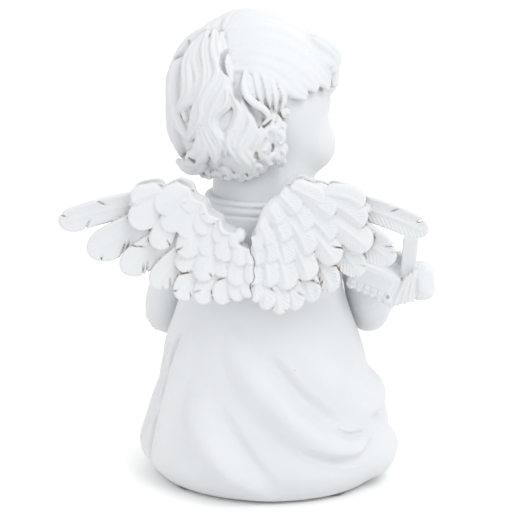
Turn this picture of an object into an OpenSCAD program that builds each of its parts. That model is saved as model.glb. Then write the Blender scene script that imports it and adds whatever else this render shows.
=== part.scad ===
// Seated resin angel figurine, looking over its right shoulder at a small
// squeezebox. Hollow robe casting with separate head, wings, arms, feet and
// instrument, all glued on pegs and steel pins.
// Millimetres. Figure faces -Y, +Z is up, its right hand is on the -X side.
// The origin is the middle of the flat underside the figure stands on.

/* [Robe] */
// Height of the robe from the shelf to the neck opening
robe_h = 127; // [100:1:160]
// Width of the robe across the seat
seat_w = 108; // [88:1:132]
// Depth of the robe from the front hem to the back
seat_d = 84; // [70:1:104]
// Width of the torso just below the arms
torso_w = 66; // [56:1:76]
// Thickness of the cast wall around the hollow
wall = 6; // [4:0.5:8]
// Height of the hollow, above this the torso is solid
hollow_h = 70; // [50:1:82]
// How far the soft folds of the robe stand out
fold_h = 1.6; // [0:0.2:2.4]

/* [Head] */
// Height of the head from the underside of the jaw to the crown
head_h = 67; // [54:1:80]
// Width of the head over the hair
head_w = 66; // [56:1:78]
// How far the head is turned to the figure's right, in degrees
head_turn = 50; // [0:1:65]
// Diameter of the neck where it meets the robe
neck_d = 41; // [34:1:46]
// How far the locks of hair stand out
curl_h = 2; // [0:0.2:2.8]

/* [Wings] */
// Reach of the left wing from the middle of the back to its tip
wing_reach = 75; // [62:1:90]
// Height of a wing from its upper arch to its lowest feather
wing_h = 49; // [40:1:58]
// Thickness of a wing over its shoulder
wing_t = 8; // [6:0.5:10]
// Width of the slit between the two wing roots
wing_slit = 1; // [0.5:0.25:3]
// Number of long feathers along the edge of one wing
feathers = 8; // [6:1:11]
// Diameter of the round tenon that seats a wing in the back
wing_tenon_d = 18; // [15:0.5:20]

/* [Arms and feet] */
// Thickness of the sleeve over the upper arm
sleeve_d = 16; // [13:0.5:18]
// Thickness of the forearm
arm_d = 12; // [10:0.5:14]
// Diameter of the shoulder peg
peg_d = 9; // [7:0.5:11]
// Length of the shoulder peg
peg_l = 8; // [6:0.5:10]
// Diameter of the ankle spigot that seats a foot under the hem
ankle_d = 13; // [10:0.5:15]
// Length of a foot in front of the hem
foot_l = 20; // [15:1:25]

/* [Squeezebox] */
// Height of the end boxes of the instrument
box_h = 16; // [13:0.5:19]
// Depth of the end boxes of the instrument
box_d = 14; // [12:0.5:17]
// Number of folds in the bellows
bellows_folds = 7; // [4:1:9]

/* [Pins and pads] */
// Diameter of the steel pins in the wings and the hand
pin_d = 3; // [2:0.5:4]
// Length of a wing pin
wing_pin_l = 18; // [15:1:22]
// Diameter of the dowel in the neck
dowel_d = 10; // [8:0.5:12]
// Length of the dowel in the neck
dowel_l = 26; // [20:1:32]
// Diameter of the filling hole closed by the plug
plug_d = 34; // [28:1:40]
// Diameter of one felt pad
felt_d = 12; // [10:0.5:14]
// Thickness of one felt pad
felt_t = 1.5; // [1:0.5:2.5]

/* [Fits] */
// Gap around a glued pin or dowel
pin_gap = 0.1; // [0.05:0.05:0.3]
// Gap around a glued peg, tenon or plug
peg_gap = 0.2; // [0.1:0.05:0.4]

/* [Hidden] */

white = [0.90, 0.91, 0.92];
steel = [0.70, 0.71, 0.73];
grey = [0.35, 0.35, 0.36];
round_fn = 48;

// ---------- curves ----------
// Smooth value between the numbers of a short list, t from 0 to 1.
function clampi(i, n) = min(max(i, 0), n - 1);
function smooth_at(v, t) =
    let (n = len(v), s = min(max(t, 0), 1) * (n - 1), i = min(floor(s), n - 2), f = s - i,
         a = v[clampi(i - 1, n)], b = v[i], c = v[i + 1], d = v[clampi(i + 2, n)])
    b + f * ((c - a) / 2 + f * ((a - 2.5 * b + 2 * c - d / 2) + f * ((d - a) / 2 + 1.5 * (b - c))));
// Round bump of height 1 at zero distance, nothing beyond distance 1.
function bump(x) = abs(x) >= 1 ? 0 : pow(1 - x * x, 2);
// Signed difference of two angles, from -180 to 180.
function turn(a, b) = let (d = (a - b) % 360) d > 180 ? d - 360 : d < -180 ? d + 360 : d;

// ---------- closed skin through a stack of rings ----------
// Each ring holds the same number of points, counted anticlockwise seen from the last ring.
module skin(rings) {
    m = len(rings[0]);
    n = len(rings);
    mid_a = [for (k = [0:2]) [for (p = rings[0]) p[k]] * [for (p = rings[0]) 1] / m];
    mid_b = [for (k = [0:2]) [for (p = rings[n - 1]) p[k]] * [for (p = rings[n - 1]) 1] / m];
    points = concat([for (r = rings, p = r) p], [mid_a, mid_b]);
    sides = [for (i = [0:n - 2], j = [0:m - 1], k = [0, 1])
        let (a = i * m + j, b = i * m + (j + 1) % m, c = a + m, d = b + m)
        k == 0 ? [a, c, b] : [b, c, d]];
    foot = [for (j = [0:m - 1]) [n * m, j, (j + 1) % m]];
    top = [for (j = [0:m - 1]) [n * m + 1, (n - 1) * m + (j + 1) % m, (n - 1) * m + j]];
    polyhedron(points = points, faces = concat(sides, foot, top), convexity = 6);
}

// Round bar that follows a path, with a radius at each of its points.
function unit(v) = v / norm(v);
function path_dir(p, i) = unit(p[min(i + 1, len(p) - 1)] - p[max(i - 1, 0)]);
module bar(path, radii, squash = 1, steps = 12, sides = 14) {
    pts = [for (i = [0:steps]) [for (k = [0:2]) smooth_at([for (p = path) p[k]], i / steps)]];
    rings = [for (i = [0:steps])
        let (d = path_dir(pts, i), u = unit(cross(d, [0.31, 0.2, 0.93])), w = cross(d, u),
             r = smooth_at(radii, i / steps))
        [for (j = [0:sides - 1]) pts[i] + r * (cos(360 * j / sides) * w
            - squash * sin(360 * j / sides) * u)]];
    skin(rings);
}

// Cylinder from one point to another.
module rod(a, b, d) {
    v = b - a;
    translate(a) rotate([0, acos(v[2] / norm(v)), atan2(v[1], v[0])])
        cylinder(d = d, h = norm(v), $fn = round_fn);
}

// ---------- robe ----------
// Half width, half depth and middle of the robe at evenly spaced heights.
seat_r = seat_w / 2;
seat_b = seat_d / 2;
torso_r = torso_w / 2;
neck_r = neck_d / 2;
collar = 2.5;
robe_wide = [seat_r - 1, seat_r, seat_r - 4, seat_r - 7.5, seat_r - 10, seat_r - 13, torso_r + 3.5,
             torso_r, torso_r + 1, torso_r - 2, neck_r + collar];
robe_deep = [seat_b, seat_b + 1, seat_b, seat_b - 4, seat_b - 9, seat_b - 12, seat_b - 14,
             seat_b - 15.5, seat_b - 17, seat_b - 18, neck_r + collar];
robe_mid = [0, 0, 1, 4, 8, 11, 13, 14, 15, 15, 15] * seat_b / 42;
// The hem is rounded inward to the face the figure stands on.
hem_t = 0.11;
hem_in = 0.13;
function hem(t) = 1 - hem_in * pow(1 - min(t / hem_t, 1), 2);

// Soft folds over the lap, two ridges that sweep down the back to the figure's right,
// the drape beside the right hip, and the knees in front.
function folds(a, t) = fold_h * (
    0.7 * sin(a * 7 + 300 * t) * bump((t - 0.3) / 0.36) * bump(turn(a, 270) / 100)
    + 1.6 * bump(turn(a, 60 + 127 * (0.28 - t)) / 15) * bump((t - 0.16) / 0.2)
    + 1.4 * bump(turn(a, 88 + 109 * (0.49 - t)) / 15) * bump((t - 0.32) / 0.22)
    + 2 * bump(turn(a, 190) / 20) * (bump((t - 0.28) / 0.09) + bump((t - 0.1) / 0.1))
    + bump(turn(a, 2) / 40) * bump((t - 0.2) / 0.22));
function knees(a, t) = 12 * bump(turn(a, 232) / 40) * bump((t - 0.21) / 0.22)
    + 11 * bump(turn(a, 306) / 40) * bump((t - 0.21) / 0.22)
    - 3 * bump(turn(a, 268) / 24) * bump((t - 0.2) / 0.3);
function robe_point(a, t, grow) =
    let (x = smooth_at(robe_wide, t) * hem(t) * cos(a), y = smooth_at(robe_deep, t) * hem(t) * sin(a),
         r = norm([x, y]), k = 1 + (grow + (grow < 0 ? 0 : folds(a, t) + knees(a, t))) / r)
    [x * k, smooth_at(robe_mid, t) + y * k, t * robe_h];
function robe_rise(s) = s - 0.06 * sin(360 * s) / 3;
module robe_skin() {
    rows = 34;
    cols = 52;
    skin([for (i = [0:rows]) [for (j = [0:cols - 1])
        robe_point(360 * j / cols, robe_rise(i / rows), 0)]]);
}
module robe_hollow() {
    rows = 8;
    cols = 20;
    top = hollow_h / robe_h;
    low = (wall + felt_t) / robe_h;
    skin([for (i = [0:rows]) [for (j = [0:cols - 1])
        robe_point(360 * j / cols, low + (top - low) * i / rows, -wall - 2)]]);
}

// ---------- places where pieces meet ----------
neck_y = smooth_at(robe_mid, 1);
socket_deep = 4;
root_x = wing_tenon_d / 2 + 4;
root_z = robe_h * 0.865;
seat_y = robe_point(72, 0.865, 0)[1] - 4;
wing_y = seat_b + 6;
pin_step = wing_tenon_d / 4 + 0.5;
shoulder_z = robe_h * 0.845;
shoulder_y = 4;
shoulder_in = torso_r - 4.5;
shoulder_x = torso_r + 3;
foot_x = seat_r * 0.36;
foot_z = 10;
hem_y = robe_point(292, foot_z / robe_h, 0)[1];
ankle_in = 7;
plug_t = wall - 1;
rim = 3;

module robe_body() {
    color(white) difference() {
        robe_skin();
        robe_hollow();
        plug_hole();
        neck_socket();
        for (s = [-1, 1]) {
            wing_socket(s);
            shoulder_socket(s);
            ankle_socket(s);
        }
        for (p = felt_places()) translate([p[0], p[1], -1])
            cylinder(d = felt_d + 2 * peg_gap, h = 1 + felt_t / 2, $fn = round_fn);
    }
}
module plug_hole() {
    translate([0, 0, -1]) cylinder(d = plug_d, h = wall + felt_t + 4, $fn = round_fn);
    translate([0, 0, -1]) cylinder(d = plug_d + 2 * rim, h = rim, $fn = round_fn);
}
module neck_socket() {
    translate([0, neck_y, robe_h - socket_deep])
        cylinder(d = neck_d + 2 * peg_gap, h = socket_deep + 2, $fn = round_fn);
    translate([0, neck_y, robe_h - socket_deep - dowel_l / 2 - 1])
        cylinder(d = dowel_d + 2 * pin_gap, h = dowel_l, $fn = round_fn);
}
module wing_socket(s) {
    translate([s * root_x, seat_y, root_z]) rotate([-90, 0, 0])
        cylinder(d = wing_tenon_d + 2 * peg_gap, h = 30, $fn = round_fn);
    wing_pin_pair(s, seat_y - wing_pin_l / 2 - 0.5, seat_y + 2, pin_d + 2 * pin_gap);
}
module wing_pin_pair(s, y0, y1, d) {
    for (k = [-1, 1])
        rod([s * root_x, y0, root_z + k * pin_step], [s * root_x, y1, root_z + k * pin_step], d);
}
module shoulder_socket(s) {
    rod([s * shoulder_in, shoulder_y, shoulder_z], [s * (shoulder_in + 30), shoulder_y, shoulder_z],
        sleeve_d + 5);
    rod([s * (shoulder_in - peg_l - 0.5), shoulder_y, shoulder_z],
        [s * (shoulder_in + 1), shoulder_y, shoulder_z], peg_d + 2 * peg_gap);
}
module ankle_socket(s) {
    rod([s * foot_x, hem_y + ankle_in, foot_z], [s * foot_x, hem_y - 20, foot_z], ankle_d + 2 * peg_gap);
}
function felt_places() = [for (a = [42, 138, 222, 318])
    [(seat_r * (1 - hem_in) - felt_d / 2 - 1) * cos(a), (seat_b * (1 - hem_in) - felt_d / 2 - 1) * sin(a)]];

// ---------- head ----------
// Front, side and back radius of the head at evenly spaced heights, jaw to crown,
// as parts of half its width. A rounded cap closes the top.
face_rows = [0.60, 0.80, 0.79, 0.72, 0.73, 0.86, 0.94, 0.98, 1.00];
back_rows = [0.60, 0.92, 1.01, 1.00, 1.02, 1.06, 1.08, 1.06, 1.00];
side_rows = [0.60, 0.88, 0.96, 0.96, 0.96, 0.98, 1.00, 1.00, 1.00];
cap_t = 0.56;
neck_over = 4.5;
jaw_z = robe_h + neck_over;
head_mid = [1.5, neck_y - 5];
crown_in = [3.5, 1.5];

function cap(t) = t < cap_t ? 1 : sqrt(max(0.0004, 1 - pow((t - cap_t) / (1 - cap_t), 2.3)));
function head_radius(d, t) =
    let (e = smooth_at(abs(d) > 90 ? back_rows : face_rows, t), w = smooth_at(side_rows, t))
    cap(t) * head_w / 2 / sqrt(pow(cos(d) / e, 2) + pow(sin(d) / w, 2));
// 1 on the bare face, 0 under the hair.
function bare(d, t) = let (edge = 62 - 30 * pow(max(t - 0.5, 0) * 4, 2)) t < 0.66 && abs(d) < edge ? 1 : 0;
function face_relief(d, t) =
    3.6 * bump(d / 12) * bump((t - 0.34) / 0.08) + 1.2 * bump(d / 9) * bump((t - 0.43) / 0.12)
    - 1.7 * (bump((d - 24) / 15) + bump((d + 24) / 15)) * bump((t - 0.45) / 0.08)
    + 2.4 * (bump((d - 40) / 26) + bump((d + 40) / 26)) * bump((t - 0.26) / 0.17)
    + 1.5 * bump(d / 16) * bump((t - 0.2) / 0.06) + 1.8 * bump(d / 20) * bump((t - 0.08) / 0.09);
function locks(d, t) = 1.2 + curl_h * (0.35 + 0.65 * sin(d * 11 + 150 * sin(t * 300))) * bump((t - 0.46) / 0.56);
function head_point(a, t) =
    let (d = turn(a, -90), r = head_radius(d, t) + (bare(d, t) ? face_relief(d, t) : locks(d, t) * cap(t)))
    [head_mid[0] + crown_in[0] * t * t * t + r * cos(a - head_turn),
     head_mid[1] + crown_in[1] * t * t * t + r * sin(a - head_turn), jaw_z + t * head_h];
function neck_point(a, r, z) = [r * cos(a - head_turn), neck_y + r * sin(a - head_turn), z];
module head() {
    rows = 30;
    cols = 64;
    neck = [for (q = [[neck_r, robe_h - socket_deep + 0.2], [neck_r, robe_h], [neck_r - 1, robe_h + neck_over / 2]])
        [for (j = [0:cols - 1]) neck_point(360 * j / cols, q[0], q[1])]];
    shell = [for (i = [0:rows]) let (t = (1 - cos(180 * i / rows)) / 2 * 0.4 + i / rows * 0.6)
        [for (j = [0:cols - 1]) head_point(360 * j / cols, min(t, 0.998))]];
    color(white) difference() {
        skin(concat(neck, shell));
        translate([0, neck_y, robe_h - socket_deep - 1])
            cylinder(d = dowel_d + 2 * pin_gap, h = dowel_l / 2 + 2, $fn = round_fn);
    }
}
module neck_dowel() {
    color(steel) translate([0, neck_y, robe_h - socket_deep - dowel_l / 2])
        cylinder(d = dowel_d, h = dowel_l, $fn = round_fn);
}

// ---------- wings ----------
// Each feather runs from the leading edge to its own tip. Both lines are given from
// the wing tip to the root, as parts of the reach and of the height.
lead_x = [0.62, 0.53, 0.44, 0.35, 0.25, 0.14, 0];
lead_z = [0.96, 1.00, 1.00, 0.98, 0.93, 0.84, 0.62];
trail_x = [1.00, 0.94, 0.81, 0.67, 0.50, 0.29, 0];
trail_z = [0.74, 0.54, 0.41, 0.29, 0.15, 0.02, 0.06];
right_reach = 0.93;
wing_foot = root_z - wing_h * 0.46;

function quill(u) = abs(sin(180 * feathers * u));
function wing_xz(u, v) =
    let (k = v * (0.86 + 0.14 * pow(quill(u), 0.6)))
    [smooth_at(lead_x, u) * (1 - k) + smooth_at(trail_x, u) * k,
     smooth_at(lead_z, u) * (1 - k) + smooth_at(trail_z, u) * k - 0.05 * sin(180 * v) * bump(u / 0.4)];
// Three overlapping rows of feathers, each a step thinner than the one above.
function wing_step(v) = v < 0.31 ? 1 : v < 0.35 ? 0.84 : v < 0.58 ? 0.82 : v < 0.62 ? 0.62 : 0.56;
function wing_point(u, v, back, s) =
    let (p = wing_xz(u, v), side = s > 0 ? 1 : right_reach,
         thick = wing_t * wing_step(v) * (0.6 + 0.4 * u) * (1 - 0.45 * bump(v / 0.12))
             + 1.1 * (quill(u) - 0.5) * bump((v - 0.75) / 0.5),
         lift = 4 * v * v + 4 * pow(1 - u, 2) * v)
    [s * (wing_slit / 2 + (wing_reach * side - wing_slit / 2) * p[0]),
     wing_y + lift + (back ? thick * 0.55 : -thick * 0.45), wing_foot + wing_h * p[1]];
module wing(s) {
    nu = feathers * 7;
    vs = [0, 0.06, 0.16, 0.3, 0.35, 0.46, 0.57, 0.62, 0.74, 0.87, 1];
    rings = [for (i = [0:nu]) concat(
        [for (v = vs) wing_point(i / nu, v, true, s)],
        [for (k = [len(vs) - 1:-1:0]) wing_point(i / nu, vs[k], false, s)])];
    color(white) difference() {
        union() {
            if (s > 0) skin(rings);
            else skin([for (r = rings) [for (k = [len(r) - 1:-1:0]) r[k]]]);
            rod([s * root_x, seat_y + 0.2, root_z], [s * root_x, wing_y + 0.5, root_z], wing_tenon_d);
        }
        wing_pin_pair(s, seat_y - 1, seat_y + wing_pin_l / 2 + 0.5, pin_d + 2 * pin_gap);
    }
}
module left_wing() wing(1);
module right_wing() wing(-1);
module wing_pins() {
    color(steel) for (s = [-1, 1])
        wing_pin_pair(s, seat_y - wing_pin_l / 2, seat_y + wing_pin_l / 2, pin_d);
}

// ---------- arms ----------
sleeve_r = sleeve_d / 2;
arm_r = arm_d / 2;
// Free room between the sleeves and the robe, and under the forearm over the lap.
arm_gap = 1.3;
lap_gap = 2.8;
// Where the middle of a limb of the given radius passes outside the robe.
// On a slanting part of the robe a round limb needs more room sideways.
function slant(a, t) = let (v = robe_point(a, t + 0.04, 0) - robe_point(a, t - 0.04, 0)) norm(v) / v[2];
function beside(a, t, r) = robe_point(a, t, (r + arm_gap) * slant(a, t));
function over_lap(a, t, r) = robe_point(a, t, r + lap_gap);
// Middle of the instrument, beside the ribs and level with the elbow.
box_mid = [-torso_r - 13, 12 + box_d / 2, robe_h * 0.73];
palm_r = arm_r * 0.85;
grip = box_mid - [5, box_d / 2 + palm_r + peg_gap, 1];

module sleeve(path) {
    bar(path, [sleeve_r * 0.9, sleeve_r * 1.05, sleeve_r, sleeve_r, sleeve_r * 1.1], 1, 12, 16);
}
// The shoulder is cut flat where it meets the robe and carries a round peg.
module shoulder(s) {
    difference() {
        union() {
            children();
            translate([s * shoulder_x, shoulder_y, shoulder_z]) sphere(d = sleeve_d * 1.2, $fn = round_fn);
        }
        translate([s * (shoulder_in + 0.2) - (s > 0 ? 30 : 0), shoulder_y - 15, shoulder_z - sleeve_d])
            cube([30, 30, 2 * sleeve_d]);
    }
    rod([s * (shoulder_in - peg_l), shoulder_y, shoulder_z], [s * (shoulder_x + 1), shoulder_y, shoulder_z], peg_d);
}
// Four fingers side by side, curled along their path.
module fingers(at, along, across, curl) {
    for (i = [-1.5:1:1.5])
        bar([at + across * i * 2.5, at + across * i * 2.8 + along * 5, at + across * i * 2.8 + along * 9 + curl * 2.5],
            [2.2, 2.1, 1.5], 1, 5, 8);
}
module right_arm() {
    elbow = beside(210, 0.54, sleeve_r * 1.1);
    finger_way = [-0.4, 0, 0.92];
    color(white) difference() {
        union() {
            shoulder(-1) sleeve([[-shoulder_x, shoulder_y, shoulder_z],
                [-shoulder_x - 3.6, shoulder_y - 1, shoulder_z - 8], beside(200, 0.7, sleeve_r),
                beside(203, 0.62, sleeve_r), elbow + [0, 0, 4]]);
            bar([elbow - [0, 0, 2], elbow + [-3, -1, 7], grip + [4, -2, -9], grip, grip + [-1.5, 0, 3.5]],
                [arm_r, arm_r, arm_r * 0.75, palm_r, palm_r * 0.95], 1, 12, 14);
            fingers(grip + finger_way * 3.4, finger_way, [0.92, 0, 0.4], [0, 0.8, 0]);
        }
        rod(grip - [0, 4, 0], grip + [0, 12, 0], pin_d + 2 * pin_gap);
    }
}
module left_arm() {
    palm = over_lap(302, 0.435, arm_r);
    color(white) union() {
        shoulder(1) sleeve([[shoulder_x, shoulder_y, shoulder_z],
            [shoulder_x + 3.6, shoulder_y - 1, shoulder_z - 8], beside(342, 0.7, sleeve_r),
            beside(338, 0.62, sleeve_r), beside(334, 0.55, sleeve_r * 1.1)]);
        bar([beside(338, 0.61, sleeve_r), beside(333, 0.54, sleeve_r * 1.1), over_lap(322, 0.5, arm_r * 1.1),
             over_lap(312, 0.465, arm_r * 0.9), palm],
            [arm_r * 0.9, arm_r, arm_r * 1.1, arm_r * 0.75, arm_r * 0.8], 1, 14, 14);
        fingers(palm, unit(over_lap(288, 0.39, arm_r) - palm), [0, 0, 1], [0, 0, -0.6]);
    }
}

// ---------- squeezebox ----------
key_box_l = 20;
key_box_h = box_h * 0.7;
end_box_t = 8;
bellows_l = 7.5;
fold_d = 1.6;
// How far the key box leans down towards the bellows, in degrees.
lean = 22;
module slab(h, d, t, r) {
    rotate([90, 0, 90]) translate([0, 0, -t / 2]) linear_extrude(t) union() {
        square([d - 2 * r, h], center = true);
        square([d, h - 2 * r], center = true);
        for (i = [-1, 1], j = [-1, 1]) translate([i * (d / 2 - r), j * (h / 2 - r)])
            circle(r = r, $fn = round_fn);
    }
}
// Middle of the key box's face that carries the bellows, and a place along the bellows.
bellows_at = [-key_box_l / 2 * cos(lean), 0, -key_box_l / 2 * sin(lean)];
function along_bellows(f) = bellows_at + [-f * bellows_l, 0, f * bellows_l * 0.45];
module bellows() {
    pitch = bellows_l / bellows_folds;
    for (i = [0:bellows_folds - 1]) let (f = (i + 0.5) / bellows_folds)
        translate(along_bellows(f)) rotate([0, -lean * (1 - f), 0]) {
            slab(box_h - 3, box_d - 2, pitch * 0.5, 1.5);
            slab(box_h - 3 - 2 * fold_d, box_d - 2 - 2 * fold_d, pitch * 1.5, 1);
        }
}
module squeezebox() {
    color(white) difference() {
        translate(box_mid) union() {
            rotate([0, -lean, 0]) slab(key_box_h, box_d, key_box_l, 1);
            bellows();
            translate(along_bellows(1) - [end_box_t / 2 - 0.4, 0, 0]) slab(box_h - 2, box_d, end_box_t, 4.5);
        }
        rod(grip - [0, 4, 0], grip + [0, 12, 0], pin_d + 2 * pin_gap);
    }
}
module hand_pin() {
    color(steel) rod(grip - [0, 3, 0], grip + [0, 11.5, 0], pin_d);
}

// ---------- feet ----------
module foot(s) {
    ankle = [s * foot_x, hem_y - 1, foot_z];
    color(white) union() {
        rod([s * foot_x, hem_y + ankle_in - 0.2, foot_z], ankle, ankle_d);
        bar([ankle + [0, 1, 0], ankle + [s, -foot_l * 0.3, -1], ankle + [s * 2.5, -foot_l * 0.78, -3.5]],
            [ankle_d * 0.5, ankle_d * 0.53, ankle_d * 0.36], 0.85, 8, 16);
        for (i = [-2:2]) bar([ankle + [s * 2.5 + i * 2.5, -foot_l * 0.7, -3.8],
            ankle + [s * 2.5 + i * 2.8, -foot_l + abs(i - s), -4.6]], [2.2, 1.7], 1, 2, 8);
    }
}
module left_foot() foot(1);
module right_foot() foot(-1);

// ---------- underside ----------
module base_plug() {
    color(grey) union() {
        translate([0, 0, 0.4]) cylinder(d = plug_d + 2 * rim - 2 * peg_gap, h = rim - 1.6, $fn = round_fn);
        translate([0, 0, 1]) cylinder(d = plug_d - 2 * peg_gap, h = plug_t, $fn = round_fn);
    }
}
module felt_pads() {
    color(grey) for (p = felt_places()) translate([p[0], p[1], -felt_t / 2])
        cylinder(d = felt_d, h = felt_t, $fn = round_fn);
}

robe_body();
head();
neck_dowel();
left_wing();
right_wing();
wing_pins();
left_arm();
right_arm();
squeezebox();
hand_pin();
left_foot();
right_foot();
base_plug();
felt_pads();
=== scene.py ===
"""Looks of the seated resin angel. Each casting is sculpted on a grid of distances round the CAD frame."""
import math

import bmesh
import bpy
import numpy as np
import openvdb
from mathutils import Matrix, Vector


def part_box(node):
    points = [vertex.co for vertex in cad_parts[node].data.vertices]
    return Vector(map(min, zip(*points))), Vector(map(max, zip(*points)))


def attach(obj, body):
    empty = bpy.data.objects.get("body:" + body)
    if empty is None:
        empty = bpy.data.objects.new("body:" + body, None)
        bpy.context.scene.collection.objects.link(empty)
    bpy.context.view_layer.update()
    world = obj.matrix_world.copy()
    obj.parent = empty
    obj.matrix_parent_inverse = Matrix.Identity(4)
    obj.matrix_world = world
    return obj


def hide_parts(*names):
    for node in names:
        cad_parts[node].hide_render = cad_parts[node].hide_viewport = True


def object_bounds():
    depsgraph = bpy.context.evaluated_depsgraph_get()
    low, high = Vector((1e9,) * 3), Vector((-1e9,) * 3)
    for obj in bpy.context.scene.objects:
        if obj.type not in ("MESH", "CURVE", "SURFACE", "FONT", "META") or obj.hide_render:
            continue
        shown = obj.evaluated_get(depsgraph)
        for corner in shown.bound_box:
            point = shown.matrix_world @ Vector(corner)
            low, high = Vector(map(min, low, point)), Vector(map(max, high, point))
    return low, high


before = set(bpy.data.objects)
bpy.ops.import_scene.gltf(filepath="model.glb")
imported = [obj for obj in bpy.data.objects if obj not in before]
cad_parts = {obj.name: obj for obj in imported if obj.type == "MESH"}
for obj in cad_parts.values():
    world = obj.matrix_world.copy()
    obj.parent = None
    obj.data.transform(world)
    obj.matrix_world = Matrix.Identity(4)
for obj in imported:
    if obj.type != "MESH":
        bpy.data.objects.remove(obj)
cad_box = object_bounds()

MM = 0.001
FAR = 8.0          # distances beyond this many millimetres aren't kept
ROBE_GRID = 0.7    # grid steps in millimetres
HEAD_GRID = 0.5
WING_GRID = 0.36
ARM_GRID = 0.45
FOOT_GRID = 0.4
BOX_GRID = 0.3


# ---------- small tools ----------
def corners(node):
    """Lowest and highest corner of a CAD node in millimetres."""
    low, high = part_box(node)
    return np.array(low) / MM, np.array(high) / MM


def smooth_step(t):
    t = np.clip(t, 0.0, 1.0)
    return t * t * (3 - 2 * t)


def bump(t):
    """Round bump of height 1 at zero, nothing beyond 1."""
    return np.clip(1 - t * t, 0.0, 1.0) ** 2


def smooth_at(values, t):
    """Smooth value between the evenly spaced values of a short list, t from 0 to 1."""
    v = np.asarray(values, np.float32)
    last = len(v) - 1
    s = np.clip(t, 0.0, 1.0) * last
    i = np.minimum(s.astype(int), last - 1)
    f = s - i
    if v.ndim > 1 and np.ndim(f):
        f = f[..., None]
    a, b, c, d = v[np.maximum(i - 1, 0)], v[i], v[i + 1], v[np.minimum(i + 2, last)]
    return b + f * ((c - a) / 2 + f * ((a - 2.5 * b + 2 * c - d / 2) + f * ((d - a) / 2 + 1.5 * (b - c))))


def curve(points, steps):
    """Smooth path through a few points."""
    return smooth_at(points, np.linspace(0, 1, steps + 1))


def unit(v):
    return v / np.maximum(np.linalg.norm(v, axis=-1, keepdims=True), 1e-9)


def smooth_min(a, b, soft):
    """The lower of two distances, blended where they are closer than soft."""
    if soft <= 0:
        return np.minimum(a, b)
    h = np.clip(0.5 + 0.5 * (b - a) / soft, 0.0, 1.0)
    return b + (a - b) * h - soft * h * (1 - h)


def rounded(p, q, r):
    """Inside both of two distances, with their common corner rounded to radius r."""
    p, q = p + r, q + r
    return np.hypot(np.maximum(p, 0), np.maximum(q, 0)) + np.minimum(np.maximum(p, q), 0) - r


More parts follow.
